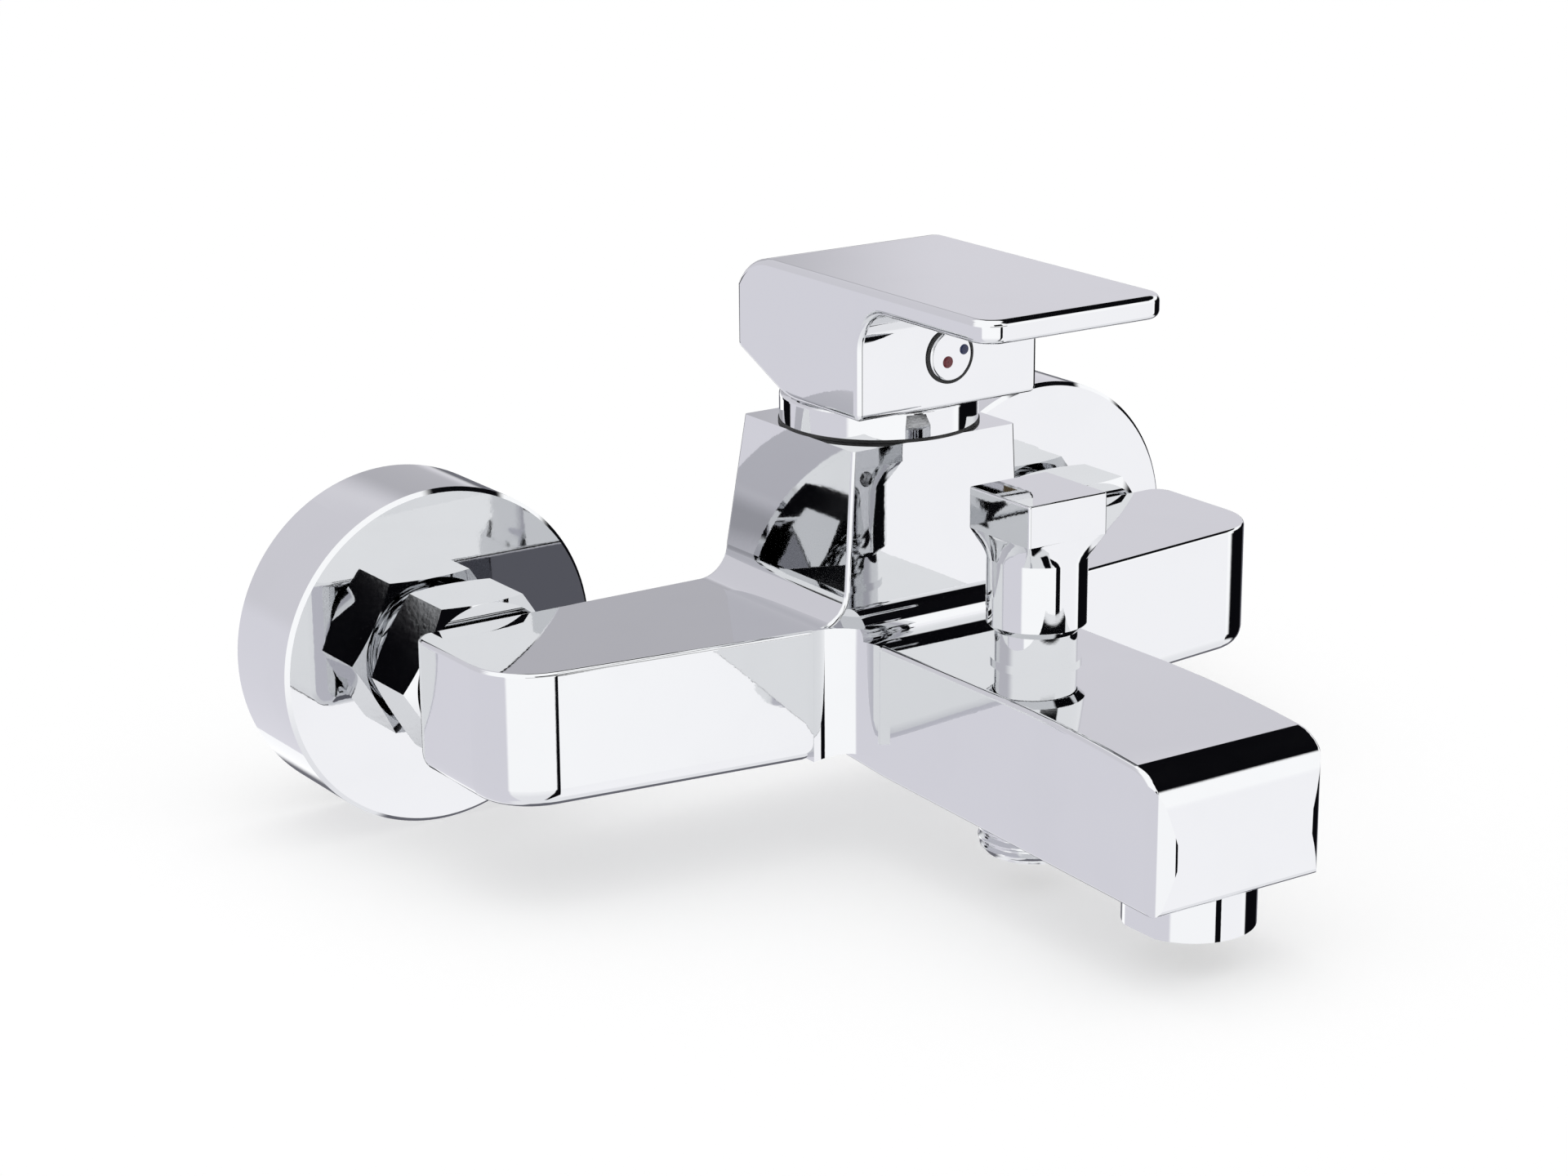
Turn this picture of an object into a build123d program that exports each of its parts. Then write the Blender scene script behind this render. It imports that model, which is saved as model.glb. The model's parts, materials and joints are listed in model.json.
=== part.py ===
"""Wall mounted bath mixer: a single-lever body with a spout, a diverter and a shower outlet.

Millimetres. +Z is up, the wall is the plane y = 0 and the mixer stands out towards -Y.
The origin is on the wall, midway between the two supply inlets, at their height.
"""
from build123d import *
import os
from math import radians, sqrt, tan

os.makedirs("parts", exist_ok=True)

# Fits and common allowances
running_gap = 0.05
thread_gap = 0.05
face_gap = 0.2
cut_overrun = 1.0

# Supply side: the two inlets, their eccentric unions and wall flanges
inlet_spacing = 150.0
pipe_thread_radius = 10.48
pipe_thread_length = 17.0
union_offset = 7.5
union_boss_start = 1.0
union_boss_end = 9.0
union_boss_radius = 12.4
union_thread_radius = 13.16
union_length = 31.0
union_bore_step = 2.5
pipe_bore_radius = 7.2
thread_chamfer = 0.8
union_bore_radius = 7.6
flange_radius = 34.2
flange_gap = 2.7
flange_wall = 1.2
flange_edge_radius = 0.8
flange_hub_radius = 16.0
flange_hub_depth = 6.0

# Union nut, washer, filter and nipple in line with each inlet
nut_across_flats = 31.0
nut_length = 15.6
nut_lip = 3.0
nut_chamfer_slope = tan(radians(30))
nut_chamfer_share = 1.0
nut_turn = 0.0
washer_thickness = 2.2
washer_radius = 12.6
filter_rim = 0.4
filter_cup_depth = 5.0
filter_cup_radius = 6.2
filter_wall = 0.4
filter_slot_width = 1.0
filter_slot_count = 10
nipple_collar = 3.0
nipple_collar_radius = 12.9
nipple_shank_radius = 10.2
nipple_thread_radius = 9.4
nipple_thread_length = 11.0
nipple_hex_across_flats = 13.0
nipple_bore_radius = 6.0
seal_groove_depth = 1.8
seal_groove_radius = 11.1
seal_slack = 0.02

# Body casting: arms
arm_top = 12.6
arm_bottom = 12.6
arm_end = 17.4
nut_room = 1.4
arm_sweep = tan(radians(7.0))
arm_front_corner = 9.0
arm_front_bend = 40.0
arm_back_corner = 10.0
arm_bottom_round = 3.5
top_edge_round = 0.8

# Body casting: tower that holds the cartridge
tower_front = 83.1
tower_side_wall = 2.75
tower_front_wall = 2.0
tower_back_wall = 2.2
tower_top = 46.2
tower_taper = 1.85
tower_blend = 6.5

# Body casting: spout
spout_half_width = 19.5
spout_top = 10.2
spout_reach = 175.0
spout_bottom = 16.0
spout_tip_bottom = 18.6
spout_tip_top = 6.0
spout_flat_past_diverter = 7.0
spout_bow = 0.9
spout_keel_back = 50.0
spout_nose_round = 8.5
spout_nose_bulge = 2.4
spout_nose_low = 8.0
spout_chin = 0.8
spout_chin_round = 2.0
spout_corner_round = 4.6
spout_side_blend = 9.0
spout_root_blend = 5.0
spout_edge_round = 1.0

# Cartridge and its seat in the tower
seat_gap = 0.1
cap_thread_wall = 1.5
port_spread = 3.9
port_forward = 4.4
port_radius = 2.0
outlet_back = 2.6
outlet_port_radius = 2.6
base_height = 4.5
base_seal_radius = 3.4
base_seal_bore = 2.7
base_seal_height = 1.0
locating_pin_radius = 1.2
locating_pin_length = 2.5
locating_pin_inset = 3.8
disc_gap = 0.2
disc_key_radius = 1.2
disc_key_inset = 1.2
disc_key_height = 2.5
fixed_disc_height = 4.0
moving_disc_radius = 8.6
moving_disc_height = 3.5
mixing_recess_radius = 3.6
mixing_recess_reach = 3.0
mixing_recess_height = 1.6
carrier_radius = 8.2
carrier_height = 6.0
carrier_socket_radius = 2.8
carrier_socket_depth = 5.0
housing_radius = 15.0
housing_wall = 1.6
housing_roof = 3.0
housing_neck_radius = 11.0
housing_over_pivot = 3.0
holder_radius = 9.6
holder_gap = 0.08
holder_over_carrier = 0.3
holder_flange_radius = 11.2
holder_flange_height = 0.6
holder_play = 0.1
holder_over_housing = 0.3
holder_slot_width = 8.2
low_slot_front = 6.4
low_slot_back = 4.6
high_slot_front = 4.1
high_slot_back = 5.8
holder_seal_rise = 1.5
holder_seal_height = 1.4
holder_groove_radius = 8.5
stop_lug_gap = 0.6
stop_lug_width = 3.0
stop_rib_depth = 1.8
stop_rib_width = 2.0
stop_rib_height = 0.9
stop_rib_angle = 62.0
pivot_pin_radius = 1.5
pivot_pin_length = 16.0
stem_square = 8.0
stem_in_lever = 17.4
stem_arm_radius = 2.1
stem_ball_radius = 2.4
stem_ball_drop = 12.5
stem_ball_depth = 1.5

# Retaining nut and the ring that covers it
cap_nut_bore = 11.1
cap_nut_depth = 6.2
cap_nut_lead = 1.6
cap_nut_lead_gap = 0.1
cap_nut_inset = 0.2
cap_nut_step = 2.2
cap_nut_slot_width = 3.0
cap_nut_slot_depth = 1.8
dome_cover = 3.0
dome_gap = 0.4
dome_roof = 3.2
dome_crown = 1.1
dome_edge_round = 1.2
dome_hole_radius = 11.6
dome_wall = 1.5

# Lever handle
lever_half_width = 21.3
lever_gap = 0.5
lever_height = 26.1
lever_front_reach = 22.9
lever_back_reach = 19.9
lever_plate_reach = 38.7
lever_plate = 4.5
lever_throat_radius = 8.0
lever_back_radius = 13.0
lever_back_bow = 2.2
lever_slant_rise = 8.3
lever_slant_reach = 1.3
lever_slant_round = 14.0
lever_tip_corner = 5.0
lever_edge_round = 1.4
lever_side_wall = 2.3
lever_front_wall = 2.8
lever_back_wall = 4.6
lever_cavity_height = 6.5
lever_pocket_height = 17.0
lever_boss_half_width = 7.5
lever_boss_back = 7.0
socket_gap = 0.05
plug_radius = 4.9
plug_rise = 10.2
plug_recess = 1.4
plug_crown = 0.7
plug_crown_round = 0.6
plug_tail_radius = 2.9
plug_tail_length = 3.5
set_screw_radius = 2.9
set_screw_length = 8.0
set_screw_hex = 3.0
set_screw_hex_depth = 3.0

# Diverter: bonnet, knob, stem, piston and spring
diverter_place_share = 0.413212
knob_width = 18.2
knob_bottom = 16.5
knob_top = 43.1
knob_square_bottom = 35.2
knob_round_top = 30.6
knob_round_radius = 9.5
knob_bottom_chamfer = 1.4
knob_top_round = 0.4
knob_corner_round = 0.5
knob_skirt_radius = 8.0
knob_skirt_top = 29.5
knob_hole_top = 37.5
knob_screw_radius = 1.5
knob_screw_length = 5.0
knob_screw_height = 33.0
knob_screw_hex = 1.5
knob_screw_hex_depth = 1.8
bonnet_radius = 7.8
bonnet_top = 28.0
bonnet_collar_radius = 8.6
bonnet_collar_height = 0.8
bonnet_thread_radius = 7.55
bonnet_bottom = 6.0
bonnet_seal_radius = 8.3
bonnet_seal_height = 1.0
spring_pocket_radius = 4.7
spring_pocket_top = 18.0
stem_seal_radius = 4.1
stem_seal_bottom = 21.5
stem_seal_height = 1.8
diverter_stem_radius = 2.5
diverter_stem_bottom = 12.8
diverter_stem_top = 37.3
stem_shoulder_radius = 4.6
stem_shoulder_height = 1.2
diverter_travel = 6.0
lower_seat = -9.5
upper_seat = 2.0
seat_wall = 1.5
seat_hole_radius = 5.6
chamber_radius = 8.6
piston_radius = 7.7
piston_height = 2.5
piston_seal_radius = 7.4
piston_seal_height = 1.5
piston_nut_radius = 4.2
piston_nut_height = 3.0
spring_coil_radius = 3.8
spring_wire_radius = 0.45
spring_turns = 7.0

# Shower outlet nipple
outlet_thread_radius = 10.48
outlet_bottom = 27.5
outlet_upper_radius = 9.0
outlet_bore_radius = 6.0
outlet_washer_height = 0.8
outlet_washer_radius = 10.9
outlet_face = 16.3
outlet_face_radius = 11.5
outlet_key_depth = 7.0

# Aerator
aerator_setback = 14.7
aerator_thread_radius = 11.9
aerator_radius = 12.2
aerator_bottom = 26.8
aerator_face = 17.7
aerator_face_radius = 12.6
aerator_socket_top = 9.0
aerator_bore_radius = 10.6
aerator_lip_radius = 9.4
aerator_lip = 1.2
aerator_flat_depth = 0.7
aerator_flat_height = 3.4
aerator_seal_bore = 9.0
aerator_seal_height = 1.4
insert_plate = 2.0
insert_skirt_radius = 9.3
insert_hole_radius = 0.7
insert_inner_circle = 4.0
insert_inner_count = 6
insert_outer_circle = 7.3
insert_outer_count = 12
mesh_height = 0.8
mesh_bar = 0.7
mesh_pitch = 2.6
mesh_rim_radius = 8.9

# Waterways inside the casting
channel_radius = 3.9
channel_forward = 5.9
channel_rise = 4.5
mixed_channel_radius = 3.8
mixed_channel_drop = 5.0
spout_channel_width = 12.0
spout_channel_height = 3.2
gallery_radius = 8.0


def section(base):
    """The half plane of a turned part: X is the radius and Y is the height along base.z_dir."""
    return Plane(origin=base.origin, x_dir=base.x_dir, z_dir=-base.y_dir)


def turned(base, outline):
    """A turned solid about the axis of base, from (radius, height) points."""
    with BuildPart() as turned_part:
        with BuildSketch(section(base)):
            with BuildLine():
                Polyline(*outline, close=True)
            make_face()
        revolve(axis=Axis(base.origin, base.z_dir))
    return turned_part.part


def tube(base, start, end, outer, inner=0.0):
    """A plain ring or rod about the axis of base, from one height to another."""
    return turned(base, [(inner, start), (outer, start), (outer, end), (inner, end)])


def o_ring(base, height, centre_radius, wire_radius):
    """A round-section seal, centred at a height on the axis of base."""
    with BuildPart() as ring:
        with BuildSketch(section(base)):
            with Locations((centre_radius, height)):
                Circle(wire_radius)
        revolve(axis=Axis(base.origin, base.z_dir))
    return ring.part


def inlet_plane(side):
    """Plane on the wall at one inlet, with Z pointing out of the wall."""
    return Plane(origin=(side * inlet_spacing / 2, 0, 0), x_dir=(1, 0, 0), z_dir=(0, -1, 0))


def finish(part, name):
    """Label a finished piece and write it."""
    part.label = name
    export_step(part, os.path.join("parts", name + ".step"))


# Places along each inlet, counted out from the wall
washer_start = union_length
filter_start = washer_start + washer_thickness
collar_start = filter_start + filter_rim
collar_end = collar_start + nipple_collar
nut_end = collar_end + nut_lip
nut_start = nut_end - nut_length
flange_depth = nut_start - flange_gap
arm_back = nut_end + nut_room
nipple_end = arm_back + nipple_thread_length

# Radii round the cartridge's housing, and the tower that surrounds them
seat_radius = housing_radius + seat_gap
cap_thread_radius = housing_radius + cap_thread_wall
cap_nut_upper_radius = cap_thread_radius - cap_nut_step
dome_radius = cap_thread_radius + dome_cover
tower_width = 2 * (cap_thread_radius + tower_side_wall)
tower_depth = 2 * cap_thread_radius + tower_front_wall + tower_back_wall
tower_foot_width = tower_width + 2 * tower_taper
housing_inner_radius = housing_radius - housing_wall
disc_radius = housing_inner_radius - disc_gap
disc_key_place = disc_radius - disc_key_inset
locating_pin_place = housing_radius - locating_pin_inset
stop_lug_radius = housing_inner_radius - stop_lug_gap
stop_rib_inner_radius = housing_inner_radius - stop_rib_depth

# Axes along the spout, counted out from the wall
cartridge_axis = tower_front - tower_front_wall - cap_thread_radius
aerator_axis = spout_reach - aerator_setback
diverter_axis = tower_front + diverter_place_share * (aerator_axis - tower_front)
spout_flat_end = diverter_axis + spout_flat_past_diverter
cartridge_plane = Plane(origin=(0, -cartridge_axis, 0))
diverter_plane = Plane(origin=(0, -diverter_axis, 0))
aerator_plane = Plane(origin=(0, -aerator_axis, 0))

# Heights of the cartridge: down from the top of the tower to its seat, then up through its pieces
housing_shoulder = tower_top - cap_nut_depth
housing_ceiling = housing_shoulder - housing_roof
holder_bottom = housing_ceiling - holder_play - holder_flange_height
carrier_top = holder_bottom - holder_over_carrier
moving_top = carrier_top - carrier_height
disc_top = moving_top - moving_disc_height
base_top = disc_top - fixed_disc_height
seat_floor = base_top - base_height
pivot_height = carrier_top - stem_ball_depth + stem_ball_drop
housing_top = pivot_height + housing_over_pivot
holder_top = housing_top + holder_over_housing
holder_seal_bottom = housing_shoulder + holder_seal_rise
cap_nut_thread_start = housing_shoulder + cap_nut_lead
cap_nut_thread_end = tower_top - cap_nut_inset

# Heights of the ring and the lever above the cartridge, and the lever's places along the spout
dome_ceiling = housing_top + dome_gap
dome_crown_top = dome_ceiling + dome_roof
dome_side_top = dome_crown_top - dome_crown
lever_bottom = dome_side_top + lever_gap
lever_top = lever_bottom + lever_height
lever_ceiling = lever_bottom + lever_cavity_height
lever_pocket_top = lever_bottom + lever_pocket_height
stem_top = lever_bottom + stem_in_lever
plug_height = lever_bottom + plug_rise
lever_front = cartridge_axis + lever_front_reach
lever_back = cartridge_axis - lever_back_reach
lever_slant_start = cartridge_axis - lever_slant_reach
lever_tip = lever_front + lever_plate_reach


def eccentric_union(side):
    """Threaded connector whose wall thread sits below its mixer thread."""
    base = inlet_plane(side)
    pipe = Plane(origin=base.origin - Vector(0, 0, union_offset), x_dir=base.x_dir, z_dir=base.z_dir)
    with BuildPart() as union:
        add(turned(pipe, [
            (0, -pipe_thread_length),
            (pipe_thread_radius - thread_chamfer, -pipe_thread_length),
            (pipe_thread_radius, thread_chamfer - pipe_thread_length),
            (pipe_thread_radius, union_boss_start),
            (0, union_boss_start),
        ]))
        with BuildSketch(pipe.offset(union_boss_start)):
            Circle(union_boss_radius)
        with BuildSketch(base.offset(union_boss_end)):
            Circle(union_thread_radius)
        loft()
        add(turned(base, [
            (0, union_boss_end),
            (union_thread_radius, union_boss_end),
            (union_thread_radius, union_length - thread_chamfer),
            (union_thread_radius - thread_chamfer, union_length),
            (0, union_length),
        ]))
        add(tube(pipe, -pipe_thread_length - cut_overrun, union_boss_end, pipe_bore_radius),
            mode=Mode.SUBTRACT)
        add(tube(base, union_boss_end - union_bore_step, union_length + cut_overrun, union_bore_radius),
            mode=Mode.SUBTRACT)
    return union.part


def wall_flange(side):
    """Round cup that hides the hole in the wall, with a hub on the union's thread."""
    base = inlet_plane(side)
    hole = union_thread_radius + thread_gap
    inside = flange_depth - flange_wall
    with BuildPart() as flange:
        add(turned(base, [
            (flange_radius - flange_wall, 0),
            (flange_radius, 0),
            (flange_radius, flange_depth - flange_edge_radius),
            (flange_radius - flange_edge_radius, flange_depth),
            (hole, flange_depth),
            (hole, inside - flange_hub_depth),
            (flange_hub_radius, inside - flange_hub_depth),
            (flange_hub_radius, inside),
            (flange_radius - flange_wall, inside),
        ]))
    return flange.part


def union_nut(side):
    """Hexagon nut with both ends chamfered and a lip that pulls on the nipple's collar."""
    base = inlet_plane(side)
    corner = nut_across_flats / sqrt(3)
    flat = nut_across_flats / 2
    chamfer_rise = (corner - flat) * nut_chamfer_slope * nut_chamfer_share
    with BuildPart() as nut:
        with BuildSketch(base.offset(nut_start)):
            RegularPolygon(flat, 6, major_radius=False, rotation=nut_turn)
        extrude(amount=nut_length)
        add(turned(base, [
            (0, nut_start),
            (flat, nut_start),
            (corner, nut_start + chamfer_rise),
            (corner, nut_end - chamfer_rise),
            (flat, nut_end),
            (0, nut_end),
        ]), mode=Mode.INTERSECT)
        add(tube(base, nut_start - cut_overrun, collar_end, union_thread_radius + thread_gap),
            mode=Mode.SUBTRACT)
        add(tube(base, collar_end, nut_end + cut_overrun, nipple_shank_radius + face_gap),
            mode=Mode.SUBTRACT)
    return nut.part


def inlet_nipple(side):
    """Collared nipple that screws into the arm and holds the union nut."""
    base = inlet_plane(side)
    with BuildPart() as nipple:
        add(turned(base, [
            (0, collar_start),
            (nipple_collar_radius, collar_start),
            (nipple_collar_radius, collar_end),
            (nipple_shank_radius, collar_end),
            (nipple_shank_radius, arm_back),
            (nipple_thread_radius, arm_back),
            (nipple_thread_radius, nipple_end - thread_chamfer),
            (nipple_thread_radius - thread_chamfer, nipple_end),
            (0, nipple_end),
        ]))
        add(tube(base, collar_start, nipple_end + cut_overrun, nipple_bore_radius), mode=Mode.SUBTRACT)
        with BuildSketch(base.offset(collar_start)):
            RegularPolygon(nipple_hex_across_flats / 2, 6, major_radius=False)
        extrude(amount=arm_back - collar_start, mode=Mode.SUBTRACT)
    return nipple.part


def nipple_seal(side):
    """Round seal in the arm's groove, round the root of the nipple's thread."""
    base = inlet_plane(side)
    wire = (seal_groove_radius - nipple_thread_radius) / 2 - seal_slack
    middle = (seal_groove_radius + nipple_thread_radius) / 2
    return o_ring(base, arm_back + seal_groove_depth / 2, middle, wire)


def inlet_washer(side):
    """Flat washer squeezed between the union's end and the nipple's collar."""
    return tube(inlet_plane(side), washer_start, filter_start, washer_radius, union_bore_radius)


def inlet_filter(side):
    """Stamped strainer cup: its rim is held by the washer and its cup reaches into the nipple."""
    base = inlet_plane(side)
    with BuildPart() as strainer:
        add(turned(base, [
            (0, filter_start + filter_cup_depth),
            (filter_cup_radius, filter_start + filter_cup_depth),
            (filter_cup_radius, collar_start),
            (nipple_collar_radius - filter_rim, collar_start),
            (nipple_collar_radius - filter_rim, filter_start),
            (filter_cup_radius - filter_wall, filter_start),
            (filter_cup_radius - filter_wall, filter_start + filter_cup_depth - filter_wall),
            (0, filter_start + filter_cup_depth - filter_wall),
        ]))
        with BuildSketch(base.offset(collar_start + filter_wall)):
            with PolarLocations(filter_cup_radius, filter_slot_count):
                Rectangle(filter_cup_radius / 2, filter_slot_width)
        extrude(amount=filter_cup_depth - 3 * filter_wall, mode=Mode.SUBTRACT)
        with BuildSketch(base.offset(filter_start)):
            with GridLocations(2 * filter_slot_width, 2 * filter_slot_width, 3, 3):
                Circle(filter_slot_width / 2)
        extrude(amount=filter_cup_depth + cut_overrun, mode=Mode.SUBTRACT)
    return strainer.part


for side, hand in ((-1, "left"), (1, "right")):
    finish(eccentric_union(side), "eccentric_union_" + hand)
    finish(wall_flange(side), "wall_flange_" + hand)
    finish(union_nut(side), "union_nut_" + hand)
    finish(inlet_nipple(side), "inlet_nipple_" + hand)
    finish(nipple_seal(side), "nipple_seal_" + hand)
    finish(inlet_washer(side), "inlet_washer_" + hand)
    finish(inlet_filter(side), "inlet_filter_" + hand)

# Body casting: derived places of its outside
arm_half_length = inlet_spacing / 2 + arm_end
foot_half = tower_foot_width / 2
front_half = foot_half + tower_blend
arm_front_end = tower_front - arm_sweep * (arm_half_length - front_half)
tower_back = tower_front - tower_depth
nose_front = spout_reach - spout_nose_bulge
flare_half = spout_half_width + spout_side_blend
flare_front = tower_front + spout_side_blend
blend_top = spout_top + spout_root_blend

# Arms and tower: the plan, the front view and the slope behind the tower cut one block
with BuildPart() as arms_and_tower:
    with BuildSketch(Plane.XY.offset(-arm_bottom)) as arm_plan:
        with BuildLine():
            Polyline(
                (-front_half, -tower_front),
                (front_half, -tower_front),
                (arm_half_length, -arm_front_end),
                (arm_half_length, -arm_back),
                (-arm_half_length, -arm_back),
                (-arm_half_length, -arm_front_end),
                close=True,
            )
        make_face()
        fillet(arm_plan.vertices().group_by(Axis.Y)[-1], arm_back_corner)
        front_corners = arm_plan.vertices().filter_by(lambda v: -tower_front < v.Y < -cartridge_axis)
        fillet(front_corners, arm_front_corner)
        fillet(arm_plan.vertices().group_by(Axis.Y)[0], arm_front_bend)
    extrude(amount=arm_bottom + tower_top)
    with BuildSketch(Plane.XZ.offset(arm_back - cut_overrun)) as front_view:
        with BuildLine():
            Polyline(
                (-arm_half_length - cut_overrun, -arm_bottom),
                (arm_half_length + cut_overrun, -arm_bottom),
                (arm_half_length + cut_overrun, arm_top),
                (foot_half, arm_top),
                (tower_width / 2, tower_top),
                (-tower_width / 2, tower_top),
                (-foot_half, arm_top),
                (-arm_half_length - cut_overrun, arm_top),
                close=True,
            )
        make_face()
        feet = front_view.vertices().filter_by(
            lambda v: abs(v.Y - arm_top) < face_gap and abs(v.X) < foot_half + face_gap
        )
        fillet(feet, tower_blend)
    extrude(amount=tower_front - arm_back + 2 * cut_overrun, mode=Mode.INTERSECT)
    with BuildSketch(Plane.YZ.offset(-arm_half_length)):
        with BuildLine():
            Polyline(
                (-tower_back, tower_top + cut_overrun),
                (-tower_back, tower_top),
                (-arm_back, arm_top + tower_blend),
                (-arm_back + cut_overrun, arm_top + tower_blend),
                (-arm_back + cut_overrun, tower_top + cut_overrun),
                close=True,
            )
        make_face()
    extrude(amount=2 * arm_half_length, mode=Mode.SUBTRACT)
    high_edges = arms_and_tower.edges().filter_by(lambda e: e.bounding_box().min.Z > arm_top - face_gap)
    rising = high_edges.filter_by(lambda e: e.bounding_box().size.Z > cut_overrun)
    rims = high_edges.filter_by(
        lambda e: e.bounding_box().max.Z < arm_top + face_gap
        and not (e.bounding_box().size.X < face_gap and abs(e.center().X) < front_half + face_gap)
    )
    fillet(rising + rims, top_edge_round)

# Side view of the spout, shared by the spout and the flares at its root
with BuildSketch(Plane.YZ) as spout_side:
    with BuildLine():
        root = Line((-spout_keel_back, blend_top), (-tower_front, blend_top))
        blend = RadiusArc(root @ 1, (-tower_front - spout_root_blend, spout_top), -spout_root_blend)
        flat = Line(blend @ 1, (-spout_flat_end, spout_top))
        middle = (flat @ 1 + Vector(-nose_front, spout_tip_top)) / 2 + Vector(0, spout_bow)
        bow = ThreePointArc(flat @ 1, middle, (-nose_front, spout_tip_top))
        chin = (-nose_front - spout_chin, -spout_tip_bottom)
        nose = ThreePointArc(bow @ 1, (-spout_reach, -spout_nose_low), chin)
        Polyline(
            nose @ 1,
            (-flare_front, -spout_bottom),
            (-spout_keel_back, -arm_bottom),
            root @ 0,
        )
    make_face()
    nose_corner = spout_side.vertices().filter_by(lambda v: v.X < -aerator_axis).sort_by(Axis.Y)[-1]
    fillet(nose_corner, spout_nose_round)
    chin_corner = spout_side.vertices().filter_by(lambda v: v.X < -aerator_axis).sort_by(Axis.Y)[0]
    fillet(chin_corner, spout_chin_round)

with BuildPart() as spout_form:
    extrude(spout_side.sketch, amount=spout_half_width, both=True)
    long_edges = spout_form.edges().filter_by(
        lambda e: abs(e.center().X) > spout_half_width - face_gap
        and e.center().Y < -tower_front - spout_side_blend
    )
    fillet(long_edges, spout_edge_round)
    with BuildSketch(Plane.XY.offset(-2 * spout_tip_bottom)) as spout_plan:
        with Locations((0, -(spout_reach + spout_keel_back) / 2)):
            Rectangle(2 * spout_half_width, spout_reach - spout_keel_back)
        fillet(spout_plan.vertices().group_by(Axis.Y)[0], spout_corner_round)
    extrude(amount=4 * spout_tip_bottom, mode=Mode.INTERSECT)

with BuildPart() as root_flares:
    with BuildSketch(Plane.XY.offset(-arm_bottom)):
        with BuildLine():
            arc = RadiusArc((spout_half_width, -flare_front), (flare_half, -tower_front), spout_side_blend)
            Polyline(
                arc @ 1,
                (flare_half, -tower_front + spout_side_blend),
                (spout_half_width - cut_overrun, -tower_front + spout_side_blend),
                (spout_half_width - cut_overrun, -flare_front),
                arc @ 0,
            )
        make_face()
        mirror(about=Plane.YZ)
    extrude(amount=arm_bottom + arm_top)
    extrude(spout_side.sketch, amount=flare_half, both=True, mode=Mode.INTERSECT)

# Waterways: both supplies run in along the arms and rise to the seat, the mixed water leaves behind them
inlet_y = -cartridge_axis - port_forward
channel_y = -cartridge_axis - channel_forward
outlet_y = -cartridge_axis + outlet_back
channel_end = port_spread - port_radius - face_gap

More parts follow.
